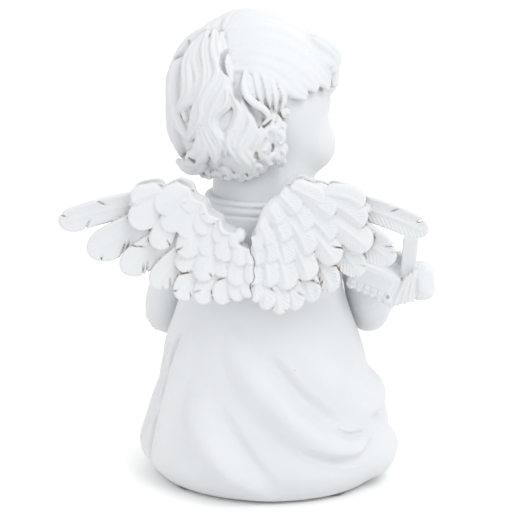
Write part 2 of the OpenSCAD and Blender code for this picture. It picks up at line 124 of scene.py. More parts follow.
# ---------- sculpting on a grid ----------
class Field:
    """A solid as distances to its surface on a grid, in millimetres and negative inside."""

    def __init__(self, low, high, step):
        self.step = step * 1.0
        self.low = np.array(low, np.float32)
        self.count = np.ceil((np.array(high) - self.low) / self.step).astype(int) + 1
        self.d = np.full(self.count, FAR, np.float32)

    def window(self, low, high):
        """The part of the grid between two corners, and the coordinates there."""
        first = np.floor((np.array(low) - self.low) / self.step).astype(int)
        last = np.ceil((np.array(high) - self.low) / self.step).astype(int) + 1
        first = np.clip(first, 0, self.count - 1)
        last = np.clip(last, first + 1, self.count)
        part = tuple(slice(a, b) for a, b in zip(first, last))
        x, y, z = (self.low[k] + self.step * np.arange(first[k], last[k], dtype=np.float32) for k in range(3))
        return part, x[:, None, None], y[None, :, None], z[None, None, :]

    def put(self, part, new, soft, cut):
        """Joins or cuts distances in one part of the grid."""
        new = np.minimum(new, FAR).astype(np.float32)
        old = self.d[part]
        self.d[part] = -smooth_min(-old, new, soft) if cut else smooth_min(old, new, soft)

    def join(self, low, high, shape, soft=0.0, cut=False):
        """Adds a shape given by a function of x, y and z, or cuts it away."""
        part, x, y, z = self.window(low, high)
        self.put(part, shape(x, y, z), soft, cut)

    def ball(self, at, radii, soft=0.0, cut=False, axes=None):
        """An ellipsoid with its radii along the given axes."""
        at = np.array(at, np.float32)
        radii = np.array(np.broadcast_to(radii, 3), np.float32)
        reach = radii.max() + soft + 2
        axes = np.eye(3) if axes is None else np.array(axes)

        def shape(x, y, z):
            k = g = 0
            for axis, r in zip(axes, radii):
                v = (x - at[0]) * axis[0] + (y - at[1]) * axis[1] + (z - at[2]) * axis[2]
                k = k + (v / r) ** 2
                g = g + (v / r ** 2) ** 2
            k = np.sqrt(k)
            return k * (k - 1) / np.sqrt(np.maximum(g, 1e-6))
        self.join(at - reach, at + reach, shape, soft, cut)

    def sweep(self, path, up, shape, reach, soft=0.0, cut=False):
        """Runs a section along a path. shape gets the distances along, across and out of the path, and
        the length of the path. up holds the outward direction at each point."""
        path = np.array(path, np.float32)
        up = np.array(np.broadcast_to(up, path.shape), np.float32)
        part, x, y, z = self.window(path.min(0) - reach, path.max(0) + reach)
        size = tuple(s.stop - s.start for s in part)
        near = np.full(size, 1e9, np.float32)
        along, across, out = (np.zeros(size, np.float32) for _ in range(3))
        start = 0.0
        for a, b, n0, n1 in zip(path[:-1], path[1:], up[:-1], up[1:]):
            length = float(np.linalg.norm(b - a))
            e = (b - a) / max(length, 1e-6)
            sub, x, y, z = self.window(np.minimum(a, b) - reach, np.maximum(a, b) + reach)
            inner = tuple(slice(s.start - p.start, s.stop - p.start) for s, p in zip(sub, part))
            x, y, z = x - a[0], y - a[1], z - a[2]
            t = x * e[0] + y * e[1] + z * e[2]
            held = np.clip(t, 0, length)
            gap = x * x + y * y + z * z - 2 * held * t + held * held
            f = held / max(length, 1e-6)
            o = 0
            s = 0
            for n, share in ((n0, 1 - f), (n1, f)):
                n = unit(n - e * np.dot(n, e))
                m = np.cross(e, n)
                o = o + share * (x * n[0] + y * n[1] + z * n[2])
                s = s + share * (x * m[0] + y * m[1] + z * m[2])
            better = gap < near[inner]
            np.copyto(near[inner], gap, where=better)
            np.copyto(along[inner], start + t, where=better)
            np.copyto(across[inner], s, where=better)
            np.copyto(out[inner], o, where=better)
            start += length
        d = shape(along, across, out, start)
        self.put(part, np.where(near < reach * reach, d, FAR), soft, cut)

    def tube(self, points, radii, soft=0.0, cut=False, steps=14):
        """A round bar along a smooth path, with evenly spaced radii."""
        path = curve(points, steps)
        self.sweep(path, (0.31, 0.2, 0.93), round_section(radii), max(radii) + soft + 2, soft, cut)

    def at(self, points):
        """Distances at any points."""
        p = (points - self.low) / self.step
        i = np.clip(np.floor(p).astype(int), 0, self.count - 2)
        f = np.clip(p - i, 0, 1)
        found = 0
        for k in range(8):
            o = np.array([k & 1, k >> 1 & 1, k >> 2 & 1])
            w = np.prod(np.where(o, f, 1 - f), axis=1)
            found = found + w * self.d[tuple((i + o).T)]
        return found

    def mesh(self, name):
        """The surface as an object, with how sheltered each point is in its cavity attribute."""
        self.d[0], self.d[-1] = FAR, FAR
        self.d[:, 0], self.d[:, -1] = FAR, FAR
        self.d[:, :, 0], self.d[:, :, -1] = FAR, FAR
        grid = openvdb.FloatGrid(FAR)
        grid.copyFromArray(self.d)
        points, quads = grid.convertToQuads(0.0)
        points = points * self.step + self.low
        data = bpy.data.meshes.new(name)
        data.from_pydata(points * MM, [], quads)
        data.polygons.foreach_set("use_smooth", np.ones(len(quads), bool))
        data.validate()
        obj = bpy.data.objects.new(name, data)
        bpy.context.scene.collection.objects.link(obj)
        keep_largest(data)
        add_cavity(self, data)
        return obj


def keep_largest(data):
    """Drops crumbs that came apart from the casting."""
    count = len(data.vertices)
    label = np.arange(count)
    pairs = np.zeros(len(data.edges) * 2, np.int32)
    data.edges.foreach_get("vertices", pairs)
    pairs = pairs.reshape(-1, 2)
    while True:
        low = np.minimum(label[pairs[:, 0]], label[pairs[:, 1]])
        new = label.copy()
        np.minimum.at(new, pairs[:, 0], low)
        np.minimum.at(new, pairs[:, 1], low)
        new = new[new]
        if (new == label).all():
            break
        label = new
    names, sizes = np.unique(label, return_counts=True)
    if len(names) == 1:
        return
    main = names[sizes.argmax()]
    bm = bmesh.new()
    bm.from_mesh(data)
    bm.verts.ensure_lookup_table()
    bmesh.ops.delete(bm, geom=[bm.verts[i] for i in np.flatnonzero(label != main)], context="VERTS")
    bm.to_mesh(data)
    bm.free()


def add_cavity(field, data):
    """How sheltered each vertex is: the share of free room missing in front of it."""
    count = len(data.vertices)
    co = np.zeros(count * 3, np.float32)
    no = np.zeros(count * 3, np.float32)
    data.vertices.foreach_get("co", co)
    data.vertices.foreach_get("normal", no)
    co, no = co.reshape(-1, 3) / MM, no.reshape(-1, 3)
    shelter = 0
    for room in (0.7, 1.4, 2.8):
        shelter = shelter + np.clip(1 - field.at(co + no * room) / room, 0, 1) / 3
    made = data.attributes.new("cavity", "FLOAT", "POINT")
    made.data.foreach_set("value", shelter.astype(np.float32))


# ---------- sections to sweep ----------
def beyond(a, total):
    """How far a point lies past either end of a path."""
    return np.maximum(np.maximum(-a, a - total), 0)


def round_section(radii):
    """A round bar with evenly spaced radii and round ends."""
    def shape(a, b, n, total):
        r = smooth_at(radii, a / total)
        past = beyond(a, total)
        return np.sqrt(b * b + n * n + past * past) - r
    return shape


def oval(w, h, b, n, past):
    """Distance to an oval section, w by h from its middle."""
    h = np.maximum(h, 0.05)
    w = np.maximum(w, 0.05)
    k = np.sqrt((b / w) ** 2 + (n / h) ** 2 + (past / h) ** 2)
    g = np.sqrt((b / w ** 2) ** 2 + (n / h ** 2) ** 2 + (past / h ** 2) ** 2)
    return k * (k - 1) / np.maximum(g, 1e-3)


LOCK_TAPER = (0.45, 0.95, 1.0, 1.0, 0.85, 0.4)


def lock_section(width, thick, strands=3, groove=0.35, taper=LOCK_TAPER, phase=0.0):
    """A lock of hair: an oval section that tapers, with grooves between its strands."""
    def shape(a, b, n, total):
        size = smooth_at(taper, a / total)
        w = width * size
        h = thick * (0.35 + 0.65 * size)
        swing = phase + 0.9 * np.sin(a / total * 5 + phase)
        lines = 0.5 + 0.5 * np.cos(math.pi * strands * b / w + swing)
        return oval(w, h, b, n, beyond(a, total)) + groove * lines ** 2 * smooth_step(n / h + 0.3)
    return shape


def feather_section(width, thick, root, tip, barbs, rachis, camber=0.7, pitch=1.9, splits=()):
    """A feather: a rounded paddle with a rachis, slanting barbs and a few splits in its vane."""
    def shape(a, b, n, total):
        w = width * (root + (1 - root) * smooth_step(a / (0.55 * total)))
        past = np.maximum(a - (total - tip * width), 0) / tip
        before = np.maximum(-a, 0)
        edge = np.sqrt(past * past + b * b + before * before) - w
        side = np.abs(b) / w
        lean = a - np.abs(b)
        vane = smooth_step(side * 2.2) * smooth_step((1.08 - side) * 4)
        comb = 0.5 - 0.5 * np.cos(2 * math.pi * lean / pitch)
        relief = rachis * bump(b / 1.1) * smooth_step((total - a) / width) - barbs * vane * comb
        for place, hand in splits:
            slit = bump((lean - place * total) / 0.75) * smooth_step((b * hand / w - 0.25) * 3)
            relief = relief - 1.1 * slit
            edge = edge + 0.5 * slit * smooth_step((side - 0.6) * 4)
        arch = n + camber * side * side
        face = np.abs(arch) - thick * (1 - 0.25 * np.clip(a / total, 0, 1)) - relief
        return rounded(edge, face, min(0.9, thick * 0.8))
    return shape


def groove_section(width, depth):
    """A soft furrow, width to each side and depth deep, that fades to both ends."""
    def shape(a, b, n, total):
        size = smooth_at((0.2, 0.9, 1.0, 0.9, 0.2), a / total)
        return oval(width * size, depth * size, b, n, beyond(a, total))
    return shape


# ---------- sizes that the castings share, in millimetres ----------
robe_low, robe_high = corners("robe_body")
head_low, head_high = corners("head")
HEAD_TURN = math.radians(50)
FACE_WAY = np.array([-math.sin(HEAD_TURN), -math.cos(HEAD_TURN), 0.0])
RIGHT_WAY = np.array([FACE_WAY[1], -FACE_WAY[0], 0.0])
UP = np.array([0.0, 0.0, 1.0])
SKULL_UP = 33.5
SKULL_SIDE = 32.0
SKULL_FRONT = 30.0
SKULL_BACK = 33.5
SKULL_MID = np.array([3.0, (head_low[1] + head_high[1]) / 2, head_high[2] - SKULL_UP - 0.5])
HANG = 3.4         # power that makes the scalp fall straighter below its middle, 2 would be round
NECK_R = 20.5
NECK_Y = 15.0
NECK_IN = 3.8      # how deep the neck sits in its socket


def in_head(f, r, u):
    """Point of the head at so much to the face, to its right and up."""
    return SKULL_MID + f * FACE_WAY + r * RIGHT_WAY + u * UP


# ---------- head ----------
def scalp(turn, lift, out=0.0):
    """Points on the scalp at a turn from the face towards the right ear and a height angle, in degrees,
    with the outward direction at each. Below its middle the scalp hangs straighter, as hair does."""
    turn, lift = np.radians(turn), np.radians(lift)
    f, r, u = np.cos(lift) * np.cos(turn), np.cos(lift) * np.sin(turn), np.sin(lift)
    flat = np.hypot(f / np.where(f > 0, SKULL_FRONT, SKULL_BACK), r / SKULL_SIDE)
    tall = np.abs(u) / SKULL_UP
    size = 1 / np.hypot(flat, tall)
    for _ in range(6):
        power = np.where(u < 0, HANG, 2.0)
        size = size / ((size * flat) ** 2 + (size * tall) ** power) ** 0.4
    way = f[..., None] * FACE_WAY + r[..., None] * RIGHT_WAY + u[..., None] * UP
    grad = ((f / np.where(f > 0, SKULL_FRONT, SKULL_BACK) ** 2)[..., None] * FACE_WAY
            + (r / SKULL_SIDE ** 2)[..., None] * RIGHT_WAY + (0.8 * u / SKULL_UP ** 2)[..., None] * UP)
    normal = unit(grad)
    return SKULL_MID + way * size[..., None] + normal * out, normal


def scalp_path(points, out, steps, wave=0.0, phase=0.0):
    """A smooth path over the scalp through (turn, lift) points. out is how far it stands off, along it,
    and wave how far it swings to each side in degrees."""
    p = np.array(points, np.float32)
    p[:, 0] += wave * np.sin(1.9 * np.arange(len(p)) + phase)
    p = np.radians(p)
    level = np.cos(p[:, 1])
    ways = np.stack([level * np.cos(p[:, 0]), level * np.sin(p[:, 0]), np.sin(p[:, 1])], 1)
    t = np.linspace(0, 1, steps + 1)
    w = unit(smooth_at(ways, t))
    turn, lift = np.degrees(np.arctan2(w[:, 1], w[:, 0])), np.degrees(np.arcsin(w[:, 2]))
    base, normal = scalp(turn, lift)
    return base + normal * smooth_at(np.broadcast_to(out, max(2, np.size(out))), t)[:, None], normal


# How far to the front the hair reaches, from the nape's height up to the crown's.
HAIRLINE = [-16, -13, -11, -9, -6, 1, 19, 26, 28]


def hair_shape(x, y, z):
    """The mass of hair under the locks."""
    dx, dy, u = x - SKULL_MID[0], y - SKULL_MID[1], z - SKULL_MID[2]
    f = dx * FACE_WAY[0] + dy * FACE_WAY[1]
    r = dx * RIGHT_WAY[0] + dy * RIGHT_WAY[1]
    flat = (f / np.where(f > 0, SKULL_FRONT, SKULL_BACK)) ** 2 + (r / SKULL_SIDE) ** 2
    tall = np.where(u < 0, (np.abs(u) / SKULL_UP) ** HANG, (u / SKULL_UP) ** 2)
    body = (np.sqrt(flat + tall) - 1) * 27
    line = smooth_at(HAIRLINE, (u + 34) / 68)
    return -smooth_min(-body, -(f - line) * 0.85, 5.0)


def lock(field, points, width, thick, out, soft, steps=14, wave=0.0, bend=0.0, **looks):
    """A lock of hair lying along a path over the scalp."""
    path, normal = scalp_path(points, out, steps, wave, bend)
    shape = lock_section(width, thick, **looks)
    field.sweep(path, normal, shape, max(width, thick) + 2.5, soft)


CURL_TURNS = 0.64
TOP_TAPER = (0.5, 1, 1, 1, 0.9, 0.5)
CURL_TAPER = (0.3, 0.9, 1, 0.9, 0.7, 0.5)


def curl(field, turn, lift, size, thick, spin, start):
    """A small round curl lying on the hair."""
    at, normal = scalp(np.array(float(turn)), np.array(float(lift)), 0.5)
    side = unit(np.cross(normal, UP))
    rise = np.cross(side, normal)
    t = np.linspace(0, 1, 16)
    angle = start + spin * 2 * math.pi * CURL_TURNS * t
    radius = size * (1.15 - 0.95 * t)
    wide, tall = np.cos(angle) * radius * 0.85, np.sin(angle) * radius * 1.2
    path = at + wide[:, None] * side + tall[:, None] * rise
    path = path + normal * (0.3 + t * thick * 0.8)[:, None]
    field.ball(at - normal * 0.8, (size * 1.1, size * 1.3, 1.6), 0.8, axes=(side, rise, normal))
    field.sweep(path, normal, lock_section(thick, thick * 0.8, 1.2, 0.12, CURL_TAPER), thick + 2, 0.3)


# Locks as (points, half width, thickness, how far they stand off), each point a turn and a lift.
BACK_LOCKS = [
    ([(196, 54), (206, 36), (204, 18), (197, 4), (186, -8), (178, -18)], 4.2, 3.2, 0.9),
    ([(186, 50), (182, 30), (177, 16), (176, 6), (183, -4)], 3.4, 2.6, 1.0),
    ([(180, 46), (174, 32), (167, 20), (168, 9), (176, 0), (178, -8)], 3.0, 2.4, 0.6),
    ([(182, 52), (168, 38), (162, 24), (160, 10), (163, 0), (171, -10), (177, -20)], 2.0, 2.2, 1.4),
    ([(172, 53), (158, 38), (153, 26), (153, 15), (157, 5), (163, -6), (174, -20)], 3.0, 2.6, 1.1),
    ([(162, 53), (152, 36), (147, 22), (147, 10), (152, 0), (159, -12), (170, -24)], 2.6, 2.4, 0.7),
    ([(143, 22), (143, 13), (146, 5), (150, -3), (150, -12), (147, -20), (145, -28)], 2.0, 2.2, 0.9),
    ([(153, -1), (154, -11), (151, -20), (148, -30)], 2.0, 2.4, 0.8),
    ([(158, -8), (158, -18), (155, -27), (152, -36)], 2.6, 2.6, 0.6),
    ([(160, -12), (163, -22), (170, -31), (184, -36)], 3.6, 2.6, (0.8, 1.0, 1.8, 2.8)),
    ([(164, -28), (171, -37), (184, -41), (199, -38)], 2.4, 2.4, (1.0, 1.8, 3.0, 3.8)),
    ([(139, 14), (136, 2), (137, -9), (138, -19), (137, -29), (133, -38)], 2.8, 2.8, 0.8),
    ([(131, 3), (129, -5), (129, -14), (131, -23), (130, -33), (131, -40)], 3.3, 3.0, 0.9),
    ([(125, -6), (124, -14), (125, -23), (125, -32)], 1.8, 2.4, 0.8),
]
TOP_LOCKS = [
    ([(158, 56), (135, 66), (104, 68), (78, 58), (64, 44), (57, 35), (52, 28)], 6.5, 2.2,
     (0.4, 0.4, 0.5, 1.0, 3.0)),
    ([(152, 50), (130, 54), (106, 53), (86, 46), (72, 36), (62, 27), (54, 18)], 5.5, 2.0, 0.5),
    ([(148, 43), (128, 44), (108, 43), (91, 37), (78, 28), (68, 19), (60, 13)], 5.0, 2.0, 0.5),
    ([(143, 36), (126, 36), (110, 33), (96, 28), (86, 20), (77, 13)], 4.6, 2.0, 0.4),
    ([(139, 29), (126, 30), (113, 26), (103, 20), (95, 13), (88, 9)], 4.2, 2.0, 0.3),
    ([(150, 58), (100, 78), (50, 66), (30, 50), (22, 38), (20, 28)], 6.0, 2.4, 0.4),
    ([(165, 60), (200, 80), (330, 70), (345, 52), (352, 38), (2, 29)], 6.0, 2.4, 0.4),
]
FAN_LOCKS = [
    ([(131, 26), (129, 20), (127, 13), (125, 6)], 1.7, 1.8, 0.5),
    ([(126, 27), (124, 20), (122, 12), (120, 5)], 1.8, 1.9, 0.6),
    ([(121, 27), (118, 20), (116, 12), (115, 4)], 1.8, 2.0, 0.6),
    ([(116, 25), (113, 18), (111, 10), (111, 2)], 1.7, 2.0, 0.5),
    ([(110, 22), (107, 15), (105, 8), (107, 1)], 1.6, 1.9, 0.4),
]
RAISED_LOCK = [(132, 25), (132, 18), (130, 11), (125, 6), (119, 2), (116, -3), (119, -7)]
# Hollows between locks as (points, half width, depth).
HOLLOWS = [
    ([(136, 19), (136, 13), (134, 7)], 1.7, 2.6),
    ([(130, 6), (125, 1), (122, -5), (123, -10)], 1.5, 2.6),
    ([(148, 44), (150, 36), (148, 28), (143, 22)], 1.0, 2.6),
    ([(124, -25), (124, -31)], 0.9, 2.4),
    ([(176, -30), (183, -33)], 1.4, 2.6),
]
# Curls as (turn, lift, size, thickness, way round).
EAR_CURLS = [
    (113, -7, 2.8, 1.5, 1), (106, -11, 2.0, 1.2, -1), (116, -15, 3.2, 1.5, -1), (108, -19, 2.4, 1.3, 1),
    (118, -25, 2.6, 1.6, 1), (106, -27, 2.9, 1.4, -1), (113, -33, 2.4, 1.5, -1), (121, -38, 3.2, 1.6, 1),
    (103, -2, 1.8, 1.1, 1), (104, -36, 2.0, 1.2, 1), (127, -30, 2.2, 1.5, -1),
]
NAPE_CURLS = [
    (132, -43, 2.8, 1.6, 1), (141, -46, 2.4, 1.6, -1), (150, -45, 3.2, 1.7, 1), (161, -46, 2.6, 1.6, -1),
    (172, -46, 3.2, 1.8, 1), (184, -44, 3.0, 1.7, -1),
]
FRINGE = [
    ([(62, 50), (54, 40), (48, 31), (52, 23)], 3.6, 3.4, (1.5, 3.4, 4.6, 3.0)),
    ([(60, 40), (52, 30), (46, 21), (50, 13)], 3.4, 3.2, 1.4),
    ([(54, 38), (46, 29), (38, 21), (36, 12)], 3.2, 3.0, 1.2),
    ([(36, 50), (30, 36), (24, 24), (27, 13)], 3.8, 3.0, 1.2),
    ([(22, 50), (14, 36), (8, 25), (4, 15)], 3.8, 3.0, 1.0),
    ([(4, 50), (-4, 36), (-12, 25), (-10, 14)], 3.8, 3.0, 1.0),
    ([(-14, 50), (-22, 36), (-30, 24), (-34, 13)], 3.8, 3.0, 1.0),
    ([(-34, 48), (-42, 34), (-50, 22), (-58, 12)], 3.8, 3.0, 0.8),
]


BACK_TURN = 175    # the turn that the hair is mirrored about


def mirrored(points, back=BACK_TURN):
    return [(2 * back - turn, lift) for turn, lift in points]


def sculpt_hair(field):
    """Top locks first, then the back, the fan above the ears, the hollows, the fringe and the curls."""
    field.join(head_low - 4, head_high + 4, hair_shape, 1.5)
    for points, width, thick, out in TOP_LOCKS:
        lock(field, points, width, thick, out, 1.3, 18, strands=1.8, groove=0.45, taper=TOP_TAPER)
    for points, width, thick, out in TOP_LOCKS[:5]:
        lock(field, mirrored(points, BACK_TURN + 2), width, thick, out, 1.6, 18, strands=1.3, groove=0.35)
    for i, (points, width, thick, out) in enumerate(BACK_LOCKS):
        looks = {"wave": 2.8, "strands": 2.1, "groove": 0.65, "phase": 0.7 * i}
        lock(field, points, width * 1.15, thick, out, 0.6, bend=0.2 * i, **looks)
        if max(turn for turn, lift in points) < 166:
            lock(field, mirrored(points), width * 1.5, thick, out, 0.6, **looks)
    for points, width, thick, out in FAN_LOCKS:
        for way, wider in ((points, 1.0), (mirrored(points), 1.2)):
            lock(field, way, width * wider, thick, out, 0.4, 10, strands=2.5, groove=0.35)
    for points, width, depth in HOLLOWS:
        for way in (points, mirrored(points)):
            path, normal = scalp_path(way, 2.2, 10)
            field.sweep(path, normal, groove_section(width, depth), depth + 2.5, 0.5, cut=True)
    for way, width, out in ((RAISED_LOCK, 1.5, (1.6, 2.8, 2.4, 2.0)),
                            (mirrored(RAISED_LOCK), 1.8, (1.6, 2.6, 2.2, 2.0))):
        lock(field, way, width, 2.0, out, 0.3, strands=1.2, groove=0.2)
    for points, width, thick, out in FRINGE:
        lock(field, points, width, thick, out, 0.6, 10, strands=3, groove=0.4)
    for turn, lift, size, thick, spin in EAR_CURLS + NAPE_CURLS:
        curl(field, turn, lift, size, thick, spin, turn * 0.3)
        if turn < 170:
            curl(field, 2 * BACK_TURN - turn, lift, size, thick, -spin, turn * 0.3 + 1)


def sculpt_face(field):
    """A calm generic child's face: eyes at mid height, a short nose, small lips, round cheeks and chin."""
    ways = (FACE_WAY, RIGHT_WAY, UP)
    field.ball(in_head(-1, 0, 2), (30, 29.5, 30), axes=ways)
    field.ball(in_head(6, 0, -14), (21.5, 25.5, 19), 6, axes=ways)
    for s in (1, -1):
        field.ball(in_head(16, 13.5 * s, -18.5), (11, 11.5, 11), 6, axes=ways)
        field.ball(in_head(25, 10 * s, 6), (6, 9, 4), 6, axes=ways)
    field.ball(in_head(21, 0, -28), (7.5, 8, 6.5), 5, axes=ways)
    field.ball(in_head(20, 0, -19), (9, 10, 7), 5, axes=ways)
    for s in (1, -1):
        field.ball(in_head(31, 11.8 * s, -3.2), (6.4, 6.8, 4.5), 4, cut=True, axes=ways)
        eye(field, s)
    face_line(field, [(26.5, 0, 1), (29.6, 0, -5), (31.8, 0, -10)], [1.9, 2.1, 2.6], 2.8)
    field.ball(in_head(32.4, 0, -10.8), (3.0, 3.2, 2.6), 1.5, axes=ways)
    for s in (1, -1):
        field.ball(in_head(30.2, 3.2 * s, -11.4), (2.4, 1.9, 1.9), 1.4, axes=ways)
        field.ball(in_head(32.0, 1.6 * s, -13.3), (0.9, 0.7, 0.6), 0.5, cut=True, axes=ways)
    lips(field)


def face_line(field, points, radii, soft, **how):
    """A thin line over the face through points to the front, to the right and up."""
    field.tube([in_head(*p) for p in points], radii, soft, **how)


def eye(field, s):
    """A half closed eye: a ball under two lids, with a soft brow."""
    field.ball(in_head(20.9, 11.6 * s, -3.6), 6.0, 0.3)
    lower = [(26.3, 6.0 * s, -4.9), (26.8, 11.4 * s, -6.4), (23.0, 17.2 * s, -4.9)]
    face_line(field, lower, [0.35, 0.65, 0.35], 0.7, steps=10)
    upper = [(26.5, 5.8 * s, -4.4), (27.6, 11.2 * s, -1.2), (23.2, 17.4 * s, -4.2)]
    face_line(field, upper, [0.5, 1.05, 0.5], 0.6, steps=10)
    brow = [(28.0, 5.5 * s, 5.0), (28.0, 11.5 * s, 6.8), (23.6, 17.5 * s, 4.6)]
    face_line(field, brow, [0.6, 0.9, 0.4], 2.2, steps=10)


def across_face(half):
    """Points from the left side, with the same ones on the right, for a line whose last point is in the
    middle."""
    return half + [(f, -r, u) for f, r, u in reversed(half[:-1])]


def lips(field):
    """Small closed lips with a faint smile."""
    upper = across_face([(27.2, -6.6, -17.8), (29.7, -2.2, -17.0), (29.9, 0, -17.5)])
    face_line(field, upper, [0.4, 1.3, 1.2, 1.3, 0.4], 1.2)
    lower = across_face([(27.2, -5.8, -18.4), (29.2, -2.2, -20.2), (29.5, 0, -20.6)])
    face_line(field, lower, [0.4, 1.4, 1.6, 1.4, 0.4], 1.2)
    parting = across_face([(27.6, -7.2, -17.6), (30.5, -2.4, -18.5), (30.9, 0, -18.9)])
    face_line(field, parting, [0.3, 0.45, 0.45, 0.45, 0.3], 0.4, cut=True)
    face_line(field, [(30.4, 0, -14.2), (30.0, 0, -15.8)], [0.6, 0.7], 1.2, cut=True, steps=4)


def make_head():
    field = Field(head_low - 4, head_high + 4, HEAD_GRID)
    sculpt_face(field)
    top = robe_high[2]
    neck = [(0, NECK_Y, top - 4), (0, NECK_Y, top + 8), (1, NECK_Y - 2, top + 20)]
    field.tube(neck, [NECK_R, NECK_R - 0.6, NECK_R - 2], 5)
    sculpt_hair(field)
    base = top - NECK_IN
    above = (head_high[0] + 5, head_high[1] + 5, base + 2)
    field.join(head_low - 5, above, lambda x, y, z: z - base, cut=True)
    return field.mesh("Head_casting")


# ---------- wings ----------
WING_Y = 48.0
WING_SCALE = 75.0
WING_HUB = (14.0, 134.0)   # the place that a wing bends back from towards its tips
WING_BEND = 7.5            # how far back it is at WING_HUB_R from there
WING_HUB_R = 62.0
TENON_R = 8.9
PIN_R = 1.5
wing_root = (np.array(corners("wing_pins")[0]) + corners("wing_pins")[1]) / 2

# Feathers as (tip x, tip z, half width, length, fall below the level in degrees), in millimetres for a wing
# that reaches WING_SCALE.
LEFT_LONG = [
    (1.5, 92.5, 3.8, 22, 84), (6.5, 91, 4.3, 24, 72), (13, 89.5, 4.7, 27, 64), (21, 89.5, 5.0, 30, 57),
    (29.5, 91, 5.3, 32, 49), (39.5, 95.5, 5.7, 34, 41), (51.5, 101.5, 6.4, 38, 32),
    (64.5, 108.5, 7.0, 44, 24), (75.6, 120.8, 5.2, 46, 12)]
LEFT_COVERTS = [
    [(28, 102.5, 4.4, 13, 62), (19.6, 98.8, 4.6, 15, 74), (12.1, 100.5, 4.0, 13, 80),
     (5.8, 97.5, 4.1, 13, 82), (0.8, 98.5, 3.0, 10, 88)],
    [(36.7, 111.2, 5.0, 15, 66), (26.4, 108, 4.9, 14, 74), (18, 108.6, 4.2, 14, 80),
     (10.8, 107, 4.4, 13, 84), (4.6, 105.5, 3.6, 11, 86), (0.6, 106, 2.6, 7, 88)],
    [(44.5, 119.3, 5.8, 14, 60), (34.5, 119.5, 5.0, 16, 42), (26.5, 116, 4.6, 14, 60),
     (19.5, 117.5, 4.7, 14, 74), (12.6, 114, 4.2, 12, 76), (6.8, 112.5, 3.6, 10, 78)],
    [(46.5, 130.5, 4.2, 9, 24), (36.5, 126.5, 5.6, 16, 34), (25.5, 126.5, 5.4, 13, 48),
     (17.5, 122.5, 4.8, 12, 62), (10.5, 118, 3.9, 10, 66)]]
RIGHT_LONG = [
    (0.8, 91, 3.4, 20, 86), (5.5, 88, 4.0, 26, 81), (11.5, 86.3, 4.4, 31, 75), (18, 88, 4.8, 34, 68),
    (25.5, 91.5, 5.2, 36, 60), (34, 96, 5.7, 38, 51), (45.5, 103, 6.3, 40, 39), (58.5, 108.5, 6.9, 43, 28),
    (72, 121, 5.2, 46, 14)]
RIGHT_COVERTS = [
    [(1, 98, 3.2, 12, 86), (7, 97.5, 4.3, 17, 80), (14.5, 96.5, 4.8, 20, 73), (23.5, 100.5, 5.2, 22, 62),
     (35, 107.5, 5.6, 24, 47), (48.5, 114, 5.8, 26, 33)],
    [(1.2, 106, 3.0, 9, 86), (6.8, 107, 4.1, 13, 78), (14, 106.5, 4.6, 17, 70), (23, 110.5, 5.0, 18, 58),
     (33, 116.5, 5.4, 19, 44), (46, 123, 5.4, 22, 30)],
    [(6, 114, 3.4, 8, 74), (13.5, 115.5, 4.3, 12, 64), (22.5, 120, 5.0, 14, 50), (33, 126, 5.2, 15, 36),
     (45.5, 130.5, 4.4, 13, 20)],
    [(10.5, 122.5, 3.6, 8, 60), (18.5, 127, 4.6, 10, 46), (29, 131, 4.6, 11, 28)]]


def wing_surface(s, x, z, out):
    """A point of the wing's middle surface, which bends back towards the tips, moved out of it."""
    dist = np.hypot(x - WING_HUB[0], z - WING_HUB[1])
    scale = wing_reach(s) / WING_SCALE
    return np.stack([s * x * scale, WING_Y + WING_BEND * (dist / WING_HUB_R) ** 2 + out, z], -1)


def wing_reach(s):
    """How far a wing goes to its side, with the last feather's roundness."""
    low, high = corners("left_wing" if s > 0 else "right_wing")
    return high[0] + 0.8 if s > 0 else -low[0] + 0.8


FEATHER_T = 1.5


def feather(field, s, spot, out, roll, bend, **looks):
    """A feather lifted at one edge so that it laps over its neighbour."""
    x, z, width, length, fall = spot
    way = np.array([math.cos(math.radians(fall)), -math.sin(math.radians(fall))])
    t = np.linspace(0, 1, 9)
    sag = bend * np.sin(math.pi * t) * np.array([-way[1], way[0]])[:, None]
    xs = x - way[0] * length * (1 - t) + sag[0]
    zs = z - way[1] * length * (1 - t) + sag[1]
    path = wing_surface(s, xs, zs, out)
    ahead = unit(np.gradient(path, axis=0))
    up = np.broadcast_to(np.array([0, 1.0, 0]) * (1 if out > -0.5 else -1), path.shape)
    side = np.cross(ahead, up)
    up = unit(up + roll * s * side)
    shape = feather_section(width, FEATHER_T, **looks)
    field.sweep(path, up, shape, width + 2.5)


def wing_line(points, out, steps=14):
    """A smooth path over the wing through (x, z) points of the left one."""
    return lambda s: curve([wing_surface(s, x, z, out) for x, z in points], steps)


LEADING_BONE = wing_line([(3, 110), (9, 117), (18, 126.5), (31, 130.5), (46, 129)], 0)
WEB = wing_line([(3, 104), (14, 107), (28, 114), (42, 122)], 0)
ROOT_FOLD = wing_line([(10.5, 131), (6.5, 127.5), (4, 121.5), (2.2, 114)], 3.0, 10)


def web_section(a, b, n, total):
    """The thin plate that the feathers sit on."""
    return oval(11, 1.2, b, n, np.maximum(a - total, 0))


# The open notch between the wings: where its edge starts, which way it rises, and its scallops.
NOTCH_LEFT = ((0, 110), (22, 23), (0.7, 0.75))
NOTCH_RIGHT = ((-2.9, 116.5), (11.2, 15), (0.4, 0.6))


def seam(z):
    """The uneven line where the two castings meet."""
    return 0.9 * np.sin(z / 2.9) + 0.5 * np.sin(z / 1.1 + 1)


